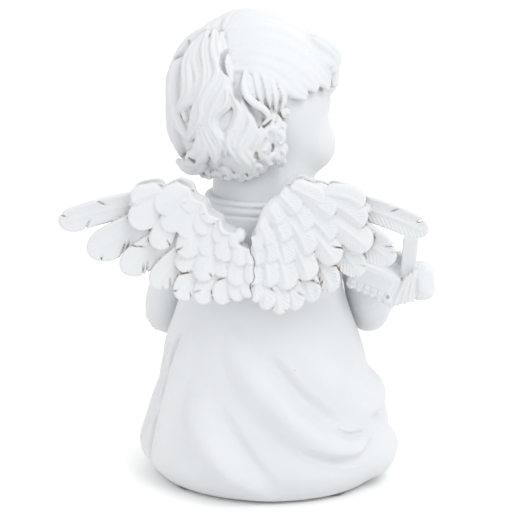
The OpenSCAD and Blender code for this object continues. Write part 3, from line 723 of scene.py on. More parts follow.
def cut_notch(field, s):
    """Takes the wing's scalloped edge back from the open notch."""
    foot, steep, rise = (np.array(v, float) for v in (NOTCH_LEFT if s > 0 else NOTCH_RIGHT))
    ahead = steep / np.linalg.norm(steep)

    def notch(x, y, z):
        run = (s * x - foot[0]) * ahead[0] + (z - foot[1]) * ahead[1]
        above = (z - foot[1]) * ahead[0] - (s * x - foot[0]) * ahead[1]
        return -above + rise[0] * np.sin(run * rise[1])
    field.join((-40, 30, 100), (40, 70, 145), notch, 1.5, cut=True)


def sculpt_coverts(field, s, coverts, rng, looks):
    """Rows of short feathers, each lapping over the one below, on both faces of the wing."""
    for side in (1, -1):
        for layer, row in enumerate(coverts):
            for i, spot in enumerate(row):
                splits = [(rng.uniform(0.55, 0.9), rng.choice([-1, 1]))] if rng.random() < 0.5 else []
                out = side * (1.7 + layer + 0.2 * (i % 2))
                lift = rng.uniform(-0.2, 0.25) * side
                roll = (rng.uniform(-0.2, 0.0) - 0.04) * side
                feather(field, s, spot, out + lift, roll, rng.uniform(0.2, 1.2),
                        splits=splits, root=0.85, tip=0.95, camber=1.1, pitch=1.5, **looks)


def make_wing(s, name, node, long, coverts, looks):
    """A wing: long feathers under rows of coverts, the fold at its root and the tenon in the back."""
    rng = np.random.default_rng(11 if s > 0 else 12)
    low, high = corners(node)
    field = Field(low - 4, high + 4, WING_GRID)
    field.sweep(LEADING_BONE(s), (0, 1, 0), round_section([2.4, 2.6, 3.2, 3.2, 2.4]), 7)
    field.sweep(WEB(s), (0, 1, 0), web_section, 13, 1)
    for i, spot in enumerate(long):
        splits = [(rng.uniform(0.5, 0.92), rng.choice([-1, 1])) for _ in range(2 + (i > 3))]
        feather(field, s, spot, 0.4 - 0.28 * i, -0.2, 1.6, splits=splits, root=1.05, tip=1.35, **looks)
    sculpt_coverts(field, s, coverts, rng, looks)
    cut_notch(field, s)
    if s < 0:
        field.sweep(ROOT_FOLD(s), (0, 1, 0), round_section([2.6, 2.4, 2.0, 1.8]), 6, 1.5)
    else:
        field.ball(wing_surface(s, 5.2, 117.5, 2.0), (2.4, 3.0, 2.8), 1.0)
    root_z = wing_root[2]
    field.sweep([[s * root_x(), low[1], root_z], [s * root_x(), WING_Y - 1.5, root_z]], UP,
                lambda a, b, n, total: np.maximum(np.hypot(b, n) - TENON_R, np.maximum(-a, a - total)), 12)
    field.join((-90, 0, 60), (90, low[1] + 2, 150), lambda x, y, z: y - low[1], cut=True)
    field.join((-4, 30, 60), (4, 70, 150), lambda x, y, z: s * (x - seam(z)) - 0.05, cut=True)
    return field.mesh(name)


def root_x():
    """How far the tenons stand from the middle."""
    low, high = corners("wing_pins")
    return high[0] - PIN_R


# ---------- robe ----------
SEAT_R = 54.0
SEAT_B = 42.0
TORSO_R = 33.0
COLLAR = 2.5
ROBE_WIDE = [SEAT_R - 1, SEAT_R, SEAT_R - 4, SEAT_R - 7.5, SEAT_R - 10, SEAT_R - 13, TORSO_R + 3.5,
             TORSO_R, TORSO_R + 1, TORSO_R - 2, NECK_R + COLLAR]
ROBE_DEEP = [SEAT_B, SEAT_B + 1, SEAT_B, SEAT_B - 4, SEAT_B - 9, SEAT_B - 12, SEAT_B - 14,
             SEAT_B - 15.5, SEAT_B - 17, SEAT_B - 18, NECK_R + COLLAR]
ROBE_MID = [0, 0, 1, 4, 8, 11, 13, 14, 15, 15, 15]
HEM_T = 0.11       # share of the height over which the hem draws in, and how much
HEM_IN = 0.13
HEM_ROUND = 1.2
FOLD_H = 1.6
ROBE_H = float(robe_high[2])


def turn_from(a, b):
    """Degrees from one turn to another, the short way round."""
    return (a - b + 180) % 360 - 180


def robe_relief(a, t):
    """Folds and knees of the robe at a turn in degrees and a share of its height."""
    lap = 0.7 * np.sin(np.radians(a * 7 + 300 * t)) * bump((t - 0.3) / 0.36) * bump(turn_from(a, 270) / 100)
    low_drape = 1.6 * bump(turn_from(a, 60 + 127 * (0.28 - t)) / 15) * bump((t - 0.16) / 0.2)
    high_drape = 1.4 * bump(turn_from(a, 88 + 109 * (0.49 - t)) / 15) * bump((t - 0.32) / 0.22)
    gathers = 2 * bump(turn_from(a, 190) / 20) * (bump((t - 0.28) / 0.09) + bump((t - 0.1) / 0.1))
    side = bump(turn_from(a, 2) / 40) * bump((t - 0.2) / 0.22)
    folds = FOLD_H * (lap + low_drape + high_drape + gathers + side)
    knees = (12 * bump(turn_from(a, 232) / 40) * bump((t - 0.21) / 0.22)
             + 11 * bump(turn_from(a, 306) / 40) * bump((t - 0.21) / 0.22)
             - 3 * bump(turn_from(a, 268) / 24) * bump((t - 0.2) / 0.3))
    return folds + knees


def robe_oval(a, t):
    """Sideways and front-to-back half sizes of the smooth robe in the direction of a turn."""
    hem = 1 - HEM_IN * (1 - np.minimum(t / HEM_T, 1)) ** 2
    c, s = np.cos(np.radians(a)), np.sin(np.radians(a))
    return smooth_at(ROBE_WIDE, t) * hem * c, smooth_at(ROBE_DEEP, t) * hem * s


def robe_spot(a, t, out=0.0):
    """Point of the robe at a turn from +X and a share of the height."""
    a, t = np.asarray(a, float), np.asarray(t, float)
    x, y = robe_oval(a, t)
    k = 1 + (out + robe_relief(a, t)) / np.hypot(x, y)
    return np.stack([x * k, smooth_at(ROBE_MID, t) + y * k, t * ROBE_H], -1)


def robe_shape(x, y, z):
    """Distance to the robe with all its folds."""
    t = np.clip(z / ROBE_H, 0, 1)
    dy = y - smooth_at(ROBE_MID, t)
    a = np.degrees(np.arctan2(dy / smooth_at(ROBE_DEEP, t), x / smooth_at(ROBE_WIDE, t))) % 360
    body = (np.hypot(x, dy) - np.hypot(*robe_oval(a, t)) - robe_relief(a, t) - from_map(FOLDS, a, t)) * 0.9
    return rounded(body, np.maximum(z - ROBE_H, -z), HEM_ROUND)


# Folds as (points of turn and share of height, half width, height), furrows with a height below zero.
ROBE_FOLDS = [
    ([(76, 0.56), (90, 0.42), (108, 0.3), (130, 0.19), (150, 0.15)], 9, 4.2),
    ([(98, 0.5), (112, 0.37), (132, 0.26)], 5, -2.4),
    ([(56, 0.36), (68, 0.22), (86, 0.08)], 9, 3.4),
    ([(72, 0.3), (84, 0.16), (98, 0.05)], 5.5, -2.2),
    ([(118, 0.52), (138, 0.38), (160, 0.27), (182, 0.2)], 9, 2.2),
    ([(112, 0.2), (126, 0.155), (142, 0.14), (156, 0.17)], 2.6, -3.0),
    ([(130, 0.25), (140, 0.215), (150, 0.21)], 1.8, -2.4),
    ([(44, 0.56), (38, 0.38), (36, 0.2), (40, 0.04)], 7, 2.6),
    ([(33, 0.54), (29, 0.38), (27, 0.22), (30, 0.07)], 2.8, -4.0),
    ([(25, 0.42), (17, 0.31), (6, 0.18)], 2.8, -1.8),
    ([(25, 0.31), (17, 0.2), (9, 0.08)], 2.8, -1.8),
    ([(23, 0.5), (13, 0.41), (2, 0.3)], 3.0, -1.8),
    ([(10, 0.5), (0, 0.38), (-8, 0.2)], 3.4, -1.8),
    ([(160, 0.24), (176, 0.215), (196, 0.21)], 5, -3.6),
    ([(250, 0.66), (262, 0.57), (276, 0.56), (290, 0.64)], 5, 2.0),
    ([(240, 0.52), (258, 0.43), (276, 0.42), (296, 0.5)], 6, 2.4),
    ([(244, 0.47), (262, 0.37), (278, 0.36), (296, 0.44)], 4, -2.0),
    ([(236, 0.4), (256, 0.3), (276, 0.29), (300, 0.38)], 6, 2.6),
    ([(230, 0.3), (250, 0.17), (270, 0.14), (292, 0.17), (308, 0.28)], 6, 2.6),
    ([(238, 0.33), (258, 0.235), (276, 0.225), (300, 0.31)], 4, -2.0),
    ([(216, 0.3), (222, 0.18), (226, 0.06)], 6, 2.4),
    ([(200, 0.34), (206, 0.2), (208, 0.07)], 6, 2.2),
    ([(322, 0.3), (320, 0.18), (318, 0.06)], 6, 2.4),
    ([(340, 0.36), (338, 0.2), (336, 0.07)], 6, 2.2),
    ([(252, 0.2), (250, 0.12), (248, 0.04)], 5, 2.0),
    ([(284, 0.2), (286, 0.12), (288, 0.04)], 5, 2.0),
    ([(262, 0.7), (266, 0.8), (268, 0.92)], 3, -1.4),
    ([(278, 0.7), (276, 0.8), (274, 0.92)], 3, -1.4),
]
ARC = 0.78         # millimetres round the robe for each degree
MAP_ROWS = 200


def drawn_fold(a, t, points, width, height):
    """Relief of one fold, highest along its path and fading to both ends."""
    path = curve(points, 16)
    near = np.full(np.broadcast(a, t).shape, 1e9)
    share = np.zeros(near.shape)
    for i, (p, q) in enumerate(zip(path[:-1], path[1:])):
        x, z = turn_from(a, p[0]) * ARC, (t - p[1]) * ROBE_H
        dx, dz = (q[0] - p[0]) * ARC, (q[1] - p[1]) * ROBE_H
        f = np.clip((x * dx + z * dz) / (dx * dx + dz * dz), 0, 1)
        gap = np.hypot(x - f * dx, z - f * dz)
        share = np.where(gap < near, (i + f) / (len(path) - 1), share)
        near = np.minimum(near, gap)
    size = np.sin(math.pi * np.clip(0.06 + 0.9 * share, 0, 1)) ** 0.7
    return height * size * bump(near / (width * (0.7 + 0.6 * size)))


def fold_map():
    """Relief of all folds together, in columns of one degree and rows of the height."""
    a, t = np.arange(361.0)[:, None], np.linspace(0, 1, MAP_ROWS + 1)[None, :]
    return sum(drawn_fold(a, t, *fold) for fold in ROBE_FOLDS)


def from_map(relief, a, t):
    """Relief between the rows and columns of the map."""
    i, j = np.minimum(a.astype(int), 359), np.minimum((t * MAP_ROWS).astype(int), MAP_ROWS - 1)
    f, g = a - i, t * MAP_ROWS - j
    low = relief[i, j] * (1 - g) + relief[i, j + 1] * g
    high = relief[i + 1, j] * (1 - g) + relief[i + 1, j + 1] * g
    return low * (1 - f) + high * f


FOLDS = fold_map()
# Gathered lumps of cloth at the right side, as (place, radii).
ROBE_LUMPS = [((-43, 3, 38), (7.5, 13, 8)), ((-48.5, 4, 12), (7, 14, 8.5))]


PLUG_GAP = 0.2
PLUG_LIP = 3.0     # how high the plug's wide end goes, and how much wider than its stem it is
PLUG_STEP = 2.8
FELT_R = 6.0


def make_robe():
    """The robe with its filling hole and the recesses for the pads."""
    field = Field(robe_low - 4, robe_high + 4, ROBE_GRID)
    field.join(robe_low - 4, robe_high + 4, robe_shape)
    for spot, radii in ROBE_LUMPS:
        field.ball(spot, radii, 7.0)
    collar_line(field)
    low, high = corners("base_plug")
    plug_r = (high[0] - low[0]) / 2
    for r, top in ((plug_r + PLUG_GAP, PLUG_LIP), (plug_r - PLUG_STEP, high[2])):
        field.join((-r - 3, -r - 3, -3), (r + 3, r + 3, top + 3),
                   lambda x, y, z: np.maximum(np.hypot(x, y) - r, z - top), cut=True)
    recess_r = FELT_R + 0.3
    for x, y in felt_spots():
        field.join((x - 9, y - 9, -3), (x + 9, y + 9, 4),
                   lambda px, py, pz: np.maximum(np.hypot(px - x, py - y) - recess_r, pz - 0.75), cut=True)
    return field.mesh("Robe_casting")


def felt_spots():
    """Middles of the four pads, from the corners of their node."""
    low, high = corners("felt_pads")
    return [(x, y) for x in (low[0] + FELT_R, high[0] - FELT_R) for y in (low[1] + FELT_R, high[1] - FELT_R)]


def collar_line(field):
    """Thin lines round the neck opening."""
    for height in (ROBE_H - 2.4, ROBE_H - 5.6):
        part, x, y, z = field.window((-40, -20, height - 3), (40, 50, height + 3))
        field.d[part] += 0.6 * bump((z - height) / 0.9)


# ---------- arms ----------
SLEEVE_R = 8.0
ARM_R = 6.0
ARM_GAP = 1.3
SHOULDER = np.array([TORSO_R + 3, 4.0, ROBE_H * 0.845])
BOX_H = 16.0
BOX_D = 14.0
PALM_R = ARM_R * 0.85
BOX_MID = np.array([-TORSO_R - 13, 12 + BOX_D / 2, ROBE_H * 0.73])
GRIP = BOX_MID - (5, BOX_D / 2 + PALM_R + 0.1, 1)


def hand(field, palm, along, across, curl_way, size=1.0):
    """A chubby hand: a palm, four fingers side by side with bent joints, and a thumb."""
    along, across, curl_way = (unit(np.array(v, float)) for v in (along, across, curl_way))
    palm = np.array(palm)
    field.ball(palm, (5.2 * size, 4.6 * size, 3.4 * size), 2, axes=(along, across, np.cross(along, across)))
    for i, reach in zip((-1.5, -0.5, 0.5, 1.5), (7.6, 8.8, 8.6, 7.0)):
        base = palm + across * i * 2.2 * size + along * 2.4 * size
        knuckle = base + (along * reach * 0.42 + across * i * 0.4) * size
        tip = base + (along * reach * 0.85 + across * i * 0.6 + curl_way * 3.0) * size
        field.tube([base, knuckle, (knuckle + tip) / 2 + along * 0.5, tip],
                   [2.0 * size, 1.75 * size, 1.55 * size, 1.35 * size], 0.7, steps=8)
    start = palm - along * 1.5 * size + across * 3.4 * size
    middle = start + (along * 3.5 + across * 2.6) * size
    tip = start + (along * 7 + across * 2.0 + curl_way * 1.5) * size
    field.tube([start, middle, tip], [2.3 * size, 2.0 * size, 1.5 * size], 1.2, steps=8)


def make_left_arm():
    """The arm whose hand lies in the lap."""
    low, high = corners("left_arm")
    field = Field(low - 3, high + 3, ARM_GRID)
    elbow = robe_spot(333, 0.55, SLEEVE_R + ARM_GAP + 0.8)
    fore = robe_spot(322, 0.5, ARM_R + 2.8)
    wrist = robe_spot(312, 0.465, ARM_R + 1.8)
    palm = robe_spot(302, 0.435, ARM_R + 1.6)
    tips = robe_spot(288, 0.39, ARM_R + 2.0)
    sleeve = [SHOULDER, SHOULDER + (3.0, -1, -9), robe_spot(342, 0.7, SLEEVE_R + ARM_GAP),
              robe_spot(338, 0.62, SLEEVE_R + ARM_GAP), elbow, (elbow + fore) / 2]
    field.tube([elbow, fore, wrist, palm], [ARM_R, ARM_R, 4.0, 4.0], 1)
    hand(field, palm, tips - palm, (0.1, -0.1, 1), (0, 0.6, -0.5))
    field.tube(sleeve, [7.6, 8.0, 7.6, 7.9, 8.6, 9.0], 0)
    for shift in (-0.35, 0.1, 0.5):
        pleat = [SHOULDER + (5, 6 * shift - 5, -9), (TORSO_R + 13, -4 + 8 * shift, ROBE_H * 0.68),
                 elbow + (5, -1 + 8 * shift, 5 - 5 * shift), elbow + (2, -5, -7 + 6 * shift)]
        field.tube(pleat, [0.6, 1.6, 2.2, 1.2], 3)
    for y, drop in ((-2, 0.0), (4, 3.0), (-7, 6.0)):
        crease = [elbow + (8, y, 16 - drop), elbow + (10, y - 1, 6 - drop), elbow + (5, y - 6, -2 - drop)]
        field.tube(crease, [0.5, 1.3, 0.6], 1.5, cut=True, steps=10)
    cuff = (elbow + fore * 3) / 4
    way = unit(wrist - fore)
    field.ball(cuff + way * 4.0, (3.2, 7.2, 7.2), 1.0, axes=frame_along(way))
    trim_shoulder(field, 1)
    return field.mesh("Left_arm_casting")


def frame_along(way):
    """A direction with two others square to it."""
    side = unit(np.cross(way, (0.2, 0.3, 0.9)))
    return way, side, np.cross(way, side)


def make_right_arm():
    """The arm that is bent up and holds the instrument."""
    low, high = corners("right_arm")
    field = Field(low - 3, high + 3, ARM_GRID)
    elbow = robe_spot(210, 0.54, SLEEVE_R * 1.1 + ARM_GAP)
    field.tube([elbow + (-1, -1, 3), elbow + (-5, -3, 9), GRIP + (4, -3, -8), GRIP + (0, -1, 0)],
               [ARM_R, ARM_R * 1.05, ARM_R * 0.72, ARM_R * 0.7], 1)
    hand(field, GRIP + (0, 0.3, 1), (-0.4, 0, 0.92), (0.92, 0, 0.4), (0, 0.9, 0.1), 0.95)
    shoulder = SHOULDER * (-1, 1, 1)
    sleeve = [shoulder, shoulder + (-3.0, -1, -9), robe_spot(200, 0.7, SLEEVE_R + ARM_GAP),
              robe_spot(203, 0.62, SLEEVE_R + ARM_GAP), elbow + (0, 0, 3)]
    field.tube(sleeve, [7.6, 8.0, 7.6, 7.7, 8.2], 0)
    field.tube([elbow + (0, -0.5, 2), elbow + (-4, -3, 8), elbow + (-6.5, -4, 13)], [8.0, 7.2, 7.4], 3)
    for dx, dy, lift in ((-6, 4, 0), (-1, 6, 2), (-8, -2, 4)):
        fold = [elbow + (dx, dy, 26 - lift), elbow + (dx * 1.05, dy, 14), elbow + (dx * 0.8, dy * 0.9, 3)]
        field.tube(fold, [0.8, 1.8, 1.0], 2.5)
    for dx, dy, lift in ((-3.5, 7.2, 0), (2, 7.8, 3), (-7.6, 3.5, -2)):
        crease = [elbow + (dx, dy, 22 - lift), elbow + (dx - 0.4, dy, 13 - lift),
                  elbow + (dx, dy - 0.4, 6 - lift)]
        field.tube(crease, [0.4, 1.0, 0.4], 1.2, cut=True, steps=10)
    trim_shoulder(field, -1)
    return field.mesh("Right_arm_casting")


PEG_R = 4.5
PEG_L = 7.5
SHOULDER_IN = 4.3  # how deep the shoulder sits in the robe


def trim_shoulder(field, s):
    """The shoulder ends flat inside the robe, with its peg."""
    x0 = TORSO_R - SHOULDER_IN
    field.join((-90, -60, 30), (90, 60, 130), lambda x, y, z: s * x - x0, cut=True)
    peg = np.array([s * (x0 - PEG_L), SHOULDER[1], SHOULDER[2]])
    field.sweep([peg, peg + (s * (PEG_L + 4.5), 0, 0)], UP,
                lambda a, b, n, total: np.maximum(np.hypot(b, n) - PEG_R, -a), 8)


# ---------- feet ----------
TOES = ((6.6, 2.35), (6.8, 1.9), (6.2, 1.75), (5.4, 1.65), (4.4, 1.55))   # reach and radius of each


def make_foot(s, name, node):
    """A bare foot with five toes and their nails, flat underneath."""
    low, high = corners(node)
    field = Field(low - 3, high + 3, FOOT_GRID)
    mid = (low + high) / 2
    heel = np.array([mid[0] - s * 1.5, high[1] - 3, mid[2] + 0.6])
    ball = np.array([mid[0] + s * 0.8, low[1] + 7.5, low[2] + 4.6])
    field.sweep([[heel[0], high[1], heel[2]], heel - (0, 7, 0)], UP, round_section([6.4, 6.4]), 9)
    field.tube([heel - (0, 3, 0), (heel + ball) / 2 + (0, 0, 0.6), ball], [6.6, 6.2, 4.5], 1.5)
    field.ball(ball, (6.6, 5.5, 3.9), 2.5)
    for i, (reach, r) in enumerate(TOES):
        x = ball[0] - s * 4.9 + s * (i * 2.35 + (0.4 if i else 0))
        base = np.array([x, ball[1] - 1.5, ball[2] - 1.2])
        tip = base + (s * 0.1 * i, -reach + 1.2, -0.9)
        field.tube([base, (base + tip) / 2 + (0, 0, 0.5), tip], [r * 0.95, r * 0.9, r], 0.6, steps=8)
        field.ball(tip + (0, -r * 0.35, r * 0.75), (r * 0.5, r * 0.5, 0.35), 0.2, cut=True)
    field.join((-90, -90, -2), (90, 0, low[2] + 0.3), lambda x, y, z: z - low[2] - 0.1, cut=True)
    return field.mesh(name)


# ---------- squeezebox ----------
def block(field, middle, size, edge, soft=0.0, tilt=0.0, cut=False):
    """A block with rounded edges, turned about the front-to-back axis."""
    half = np.array(size, float) / 2
    c, s = math.cos(tilt), math.sin(tilt)

    def shape(x, y, z):
        x, y, z = x - middle[0], y - middle[1], z - middle[2]
        u, w = c * x + s * z, -s * x + c * z
        p, q, r = np.abs(u) - half[0] + edge, np.abs(y) - half[1] + edge, np.abs(w) - half[2] + edge
        p, q, r = np.broadcast_arrays(p, q, r)
        return (np.sqrt(np.maximum(p, 0) ** 2 + np.maximum(q, 0) ** 2 + np.maximum(r, 0) ** 2)
                + np.minimum(np.maximum(np.maximum(p, q), r), 0) - edge)
    reach = half.max() + 3
    field.join(np.array(middle) - reach, np.array(middle) + reach, shape, soft, cut)


KEY_BOX = (20.0, BOX_D, BOX_H * 0.7)
KEYS = 6
KEY_PITCH = 3.0
END_BOX_T = 8.0
BELLOWS_L = 7.5
BELLOWS_RISE = 0.45        # how far the bellows rises for its length
FOLDS_IN_BELLOWS = 7
LEAN = math.radians(22)
BELLOWS_AT = BOX_MID - (KEY_BOX[0] / 2 * math.cos(LEAN), 0, KEY_BOX[0] / 2 * math.sin(LEAN))


def in_key_box(along, deep, up):
    """A point of the leaning key box, from its middle."""
    c, s = math.cos(LEAN), math.sin(LEAN)
    return BOX_MID + (along * c - up * s, deep, along * s + up * c)


def make_squeezebox():
    """The instrument: a key box, the bellows and a rounded end box, with a thin slab above it."""
    low, high = corners("squeezebox")
    field = Field(low - 4, high + (4, 4, 14), BOX_GRID)
    half_l, half_d, half_h = (v / 2 for v in KEY_BOX)
    block(field, BOX_MID, KEY_BOX, 0.9, tilt=LEAN)
    panel = (KEY_BOX[0] - 4, BOX_D + 1.0, KEY_BOX[2] - 4.6)
    block(field, in_key_box(0.6, 0, 1.2), panel, 0.7, 0.4, tilt=LEAN)
    for k in range(KEYS):
        along = half_l - 2.2 - k * KEY_PITCH
        for deep in (half_d - 1.0, 0, 1.0 - half_d):
            field.ball(in_key_box(along, deep, -half_h + 0.5), (1.3, 1.5, 1.15), 0.25)
        for deep in (half_d, -half_d):
            block(field, in_key_box(along, deep, -half_h + 2.6), (2.3, 0.9, 1.9), 0.35, 0.2, LEAN)
    corner = in_key_box(-half_l + 0.6, half_d - 1.6, -half_h + 0.4)
    field.tube([corner + (1.2, 0, 1.2), corner + (-0.7, 0, -1.5)], [2.3, 1.0], 0.8, steps=4)
    field.ball(in_key_box(-half_l + 2.6, half_d + 0.2, -half_h + 2.4), 0.8, 0.2, cut=True)
    make_ribs(field)
    end_mid = BELLOWS_AT + (-BELLOWS_L - END_BOX_T / 2 + 1.6, 0, BELLOWS_L * BELLOWS_RISE)
    for shift, size, edge in ((0, (END_BOX_T + 2.4, BOX_D, BOX_H - 1), 4.4),
                              (0, (8.6, BOX_D + 0.7, BOX_H - 4.6), 3.6),
                              (0.4, (4.0, BOX_D + 1.6, BOX_H - 8.5), 1.9)):
        block(field, end_mid + (shift, 0, 0), size, edge, 0.0, -0.12)
    block(field, end_mid + (5.2, 2.5, 10), (6.0, 2.6, 17), 0.6, 0.8, 0.06)
    return field.mesh("Squeezebox_casting")


def make_ribs(field):
    """The folds of the bellows, fanned out and scalloped below."""
    for k in range(FOLDS_IN_BELLOWS):
        f = (k + 0.4) / FOLDS_IN_BELLOWS
        middle = BELLOWS_AT + (-f * BELLOWS_L, 0, f * BELLOWS_L * BELLOWS_RISE - 0.5 + 0.5 * (k % 2))
        tilt = LEAN * (1.25 - f * 1.15)
        block(field, middle, (1.35, BOX_D + 0.4 + 0.6 * (k % 2), BOX_H - 2.6), 0.6, 0.3, tilt)
        block(field, middle, (2.2, BOX_D - 1.0, BOX_H - 5.4), 0.5, 0.3, tilt)


# ---------- materials ----------
class Shader:
    """A small helper that builds one node material."""

    def __init__(self, name):
        self.material = bpy.data.materials.new(name)
        self.material.use_nodes = True
        self.tree = self.material.node_tree
        self.surface = self.tree.nodes["Principled BSDF"]
        self.place = self.node("ShaderNodeTexCoord").outputs["Object"]

    def node(self, kind, **values):
        made = self.tree.nodes.new(kind)
        for name, value in values.items():
            if name in made.inputs:
                made.inputs[name].default_value = value
            else:
                setattr(made, name, value)
        return made

    def link(self, source, target):
        self.tree.links.new(source, target)

    def set(self, socket, value):
        """Gives one of the shader's own sockets a number or a source."""
        if isinstance(value, (int, float)):
            self.surface.inputs[socket].default_value = value
        else:
            self.link(value, self.surface.inputs[socket])

    def noise(self, scale, detail=3.0, rough=0.5):
        made = self.node("ShaderNodeTexNoise", Scale=scale, Detail=detail, Roughness=rough)
        self.link(self.place, made.inputs["Vector"])
        return made.outputs["Fac"]

    def cells(self, scale):
        made = self.node("ShaderNodeTexVoronoi", Scale=scale)
        self.link(self.place, made.inputs["Vector"])
        return made.outputs["Distance"]

    def ramp(self, source, stops):
        made = self.node("ShaderNodeValToRGB")
        ramp = made.color_ramp
        while len(ramp.elements) < len(stops):
            ramp.elements.new(0.5)
        for element, (place, colour) in zip(ramp.elements, stops):
            element.position = place
            element.color = (*colour, 1) if np.ndim(colour) else (colour, colour, colour, 1)
        self.link(source, made.inputs["Fac"])
        return made.outputs["Color"]

    def math(self, kind, a, b):
        made = self.node("ShaderNodeMath", operation=kind)
        for socket, value in zip(made.inputs, (a, b)):
            if isinstance(value, (int, float)):
                socket.default_value = value
            else:
                self.link(value, socket)
        return made.outputs[0]

    def mix(self, factor, a, b):
        made = self.node("ShaderNodeMix", data_type="RGBA")
        self.link(factor, made.inputs["Factor"])
        for socket, value in zip([s for s in made.inputs if s.type == "RGBA"], (a, b)):
            if isinstance(value, tuple):
                socket.default_value = (*value, 1)
            else:
                self.link(value, socket)
        return [s for s in made.outputs if s.type == "RGBA"][0]

    def bump(self, height, strength, distance):
        made = self.node("ShaderNodeBump", Strength=strength, Distance=distance)
        self.link(height, made.inputs["Height"])
        self.link(made.outputs["Normal"], self.surface.inputs["Normal"])


PAINT = (0.66, 0.678, 0.688)
# Grey of painted shade that darkens the paint in creases and sheltered spots; it is not a colour the paint
# has.
PAINTED_CREVICE_SHADE = (0.50, 0.514, 0.522)
BARE_RESIN = (0.33, 0.21, 0.12)


def painted_resin(name, bare=0.5, seed=0.0):
    """Matt white paint over brown resin, which shows in pits and at the bottom of deep crevices. The paint is
    also darkened by painted shade wherever the cavity attribute says a point is sheltered.
    """
    shader = Shader(name)
    cavity = shader.node("ShaderNodeAttribute", attribute_name="cavity").outputs["Fac"]
    soft = shader.noise(60 + seed, 4)
    fine = shader.noise(900 + seed, 3)
    grain = shader.noise(2600 + seed, 2)
    patchy = shader.ramp(shader.noise(150 + seed, 4, 0.6), [(0.48, 0.0), (0.60, 1.0)])
    tint = shader.mix(shader.ramp(soft, [(0.35, 0.0), (0.7, 1.0)]), PAINT, tuple(0.975 * c for c in PAINT))
    # Painted shade: the paint goes toward the painted-shade grey as the cavity attribute rises, darkening
    # creases, hollows and spots under overhangs.
    with_painted_shade = shader.mix(shader.ramp(cavity, [(0.35, 0.0), (0.95, 0.75)]), tint, PAINTED_CREVICE_SHADE)
    deep = shader.ramp(cavity, [(0.58 - 0.06 * bare, 0.0), (0.70 - 0.06 * bare, 1.0)])
    worn = shader.math("MULTIPLY", deep, patchy)
    pits = shader.ramp(shader.cells(210 + seed), [(0.035, 1.0), (0.055, 0.0)])
    sparse = shader.ramp(shader.noise(33 + seed, 2), [(0.60, 0.0), (0.68, 1.0)])
    pits = shader.math("MULTIPLY", pits, sparse)
    brown = shader.math("MINIMUM", shader.math("ADD", shader.math("MULTIPLY", worn, bare), pits), 1.0)
    shader.set("Base Color", shader.mix(brown, with_painted_shade, BARE_RESIN))
    shader.set("Roughness", shader.ramp(fine, [(0.3, 0.52), (0.7, 0.66)]))
    height = shader.math("ADD", shader.math("MULTIPLY", fine, 0.6), shader.math("MULTIPLY", grain, 0.25))
    height = shader.math("SUBTRACT", height, shader.math("MULTIPLY", pits, 2.0))
    shader.bump(height, 0.35, 0.00018)
    shader.set("Specular IOR Level", 0.35)
    return shader.material


def felt():
    shader = Shader("Grey_felt")
    fluff = shader.noise(1800, 5, 0.7)
    shader.set("Base Color", shader.mix(fluff, (0.10, 0.10, 0.11), (0.24, 0.24, 0.25)))
    shader.set("Roughness", 0.95)
    shader.set("Sheen Weight", 0.4)
    shader.bump(fluff, 0.8, 0.0004)
    return shader.material


def rubber():
    shader = Shader("Plug_rubber")
    dust = shader.noise(240, 4)
    shader.set("Base Color", shader.mix(dust, (0.035, 0.035, 0.038), (0.075, 0.075, 0.08)))
    shader.set("Roughness", shader.ramp(dust, [(0.3, 0.55), (0.7, 0.75)]))
    shader.bump(shader.noise(1500, 2), 0.3, 0.0001)
    return shader.material


def steel():
    shader = Shader("Pin_steel")
    marks = shader.noise(1200, 3)
    shader.set("Base Color", shader.mix(marks, (0.50, 0.50, 0.51), (0.62, 0.62, 0.63)))
    shader.set("Metallic", 1.0)
    shader.set("Roughness", shader.ramp(marks, [(0.3, 0.28), (0.7, 0.42)]))
    return shader.material


def beech():
    shader = Shader("Beech_dowel")
    grain = shader.node("ShaderNodeTexWave", Scale=160, Distortion=3.0, Detail=3.0)
    shader.link(shader.place, grain.inputs["Vector"])
    shader.set("Base Color", shader.mix(grain.outputs["Fac"], (0.55, 0.38, 0.22), (0.72, 0.54, 0.35)))
    shader.set("Roughness", 0.6)
    shader.bump(grain.outputs["Fac"], 0.2, 0.0002)
    return shader.material


# ---------- stage ----------
def look_at(obj, place, target):
    obj.location = place
    way = np.array(target) - np.array(place)
    obj.rotation_euler = Vector(way).to_track_quat("-Z", "Y").to_euler()


def around(azimuth, elevation, distance, target):
    """A place so far from the target, seen from the figure's front at azimuth 0, in degrees and metres."""
    a, e = math.radians(azimuth), math.radians(elevation)
    back = np.array([math.sin(a) * math.cos(e), -math.cos(a) * math.cos(e), math.sin(e)])
    return np.array(target) + back * distance


def make_stage():
    floor_z = cad_box[0][2] - 0.0002
    bpy.ops.mesh.primitive_plane_add(size=1)
    floor = bpy.context.object
    floor.name = "Floor"
    floor.scale = (30, 30, 1)
    floor.location = (0, 0, floor_z)
    shader = Shader("Pale_floor")
    shader.surface.inputs["Base Color"].default_value = (0.95, 0.95, 0.95, 1)
    shader.set("Roughness", 0.9)
    floor.data.materials.append(shader.material)

    world = bpy.data.worlds.new("Studio")
    bpy.context.scene.world = world
    world.use_nodes = True
    world.node_tree.nodes["Background"].inputs["Color"].default_value = (1.0, 1.0, 1.0, 1)
    world.node_tree.nodes["Background"].inputs["Strength"].default_value = 1.06

    middle = (0, 0, 0.1)
    for name, azimuth, elevation, distance, size, power in LIGHTS:
        data = bpy.data.lights.new(name, "AREA")
        data.energy = power
        data.size = size
        light = bpy.data.objects.new(name, data)
        bpy.context.scene.collection.objects.link(light)
        look_at(light, around(azimuth, elevation, distance, middle), middle)


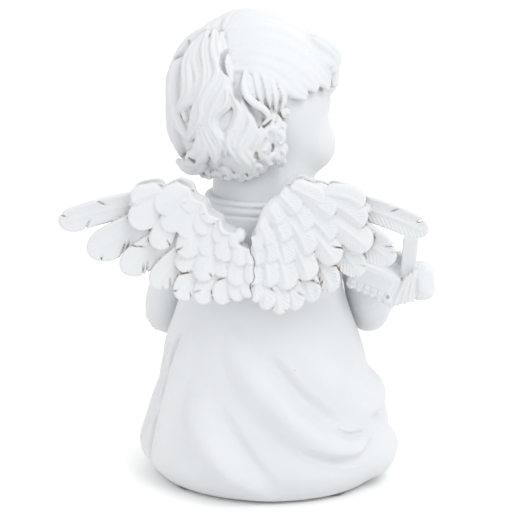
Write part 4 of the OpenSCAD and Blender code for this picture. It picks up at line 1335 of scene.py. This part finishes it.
# Lights as (name, azimuth, elevation, distance, size, power), metres and watts.
LIGHTS = [("Key_light", 222, 50, 0.9, 0.4, 2.4), ("Fill_light", 120, 25, 1.1, 0.8, 0.3),
          ("Front_light", 340, 40, 1.0, 0.7, 1.6)]
CAMERA_AZIMUTH = 186
CAMERA_ELEVATION = 15
CAMERA_DISTANCE = 0.62
CAMERA_TARGET = (0.0033, 0.009, 0.098)
CAMERA_LENS = 105


def make_camera():
    """The camera behind the figure, at the angle of the view that it is built to."""
    data = bpy.data.cameras.new("Camera")
    data.lens = CAMERA_LENS
    data.sensor_width = 36
    camera = bpy.data.objects.new("Camera", data)
    bpy.context.scene.collection.objects.link(camera)
    look_at(camera, around(CAMERA_AZIMUTH, CAMERA_ELEVATION, CAMERA_DISTANCE, CAMERA_TARGET), CAMERA_TARGET)
    bpy.context.scene.camera = camera
    bpy.context.scene.view_settings.view_transform = "Standard"


# ---------- assembly ----------
def place(piece, node, slot, material):
    piece.data.materials.clear()
    piece.data.materials.append(material)
    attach(piece, "root")
    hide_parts(node)


def dress(node, material):
    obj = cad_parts[node]
    obj.data.materials.clear()
    obj.data.materials.append(material)


make_camera()
make_stage()
place(make_robe(), "robe_body", "robe_paint", painted_resin("Robe_paint", 0.0, 0))
place(make_head(), "head", "head_paint", painted_resin("Head_paint", 0.5, 5))
for s, side, long, coverts, looks, seed in (
        (1, "Left", LEFT_LONG, LEFT_COVERTS, {"barbs": 0.1, "rachis": 0.12}, 9),
        (-1, "Right", RIGHT_LONG, RIGHT_COVERTS, {"barbs": 0.3, "rachis": 0.25}, 14)):
    node = side.lower() + "_wing"
    wing = make_wing(s, side + "_wing_casting", node, long, coverts, looks)
    place(wing, node, "wing_paint", painted_resin(side + "_wing_paint", 0.75, seed))
limb_paint = painted_resin("Limb_paint", 0.4, 21)
place(make_left_arm(), "left_arm", "robe_paint", limb_paint)
place(make_right_arm(), "right_arm", "robe_paint", limb_paint)
for s, side in ((1, "Left"), (-1, "Right")):
    node = side.lower() + "_foot"
    place(make_foot(s, side + "_foot_casting", node), node, "robe_paint", limb_paint)
place(make_squeezebox(), "squeezebox", "instrument_paint", painted_resin("Instrument_paint", 0.9, 27))
dress("neck_dowel", beech())
dress("wing_pins", steel())
dress("hand_pin", steel())
dress("base_plug", rubber())
dress("felt_pads", felt())
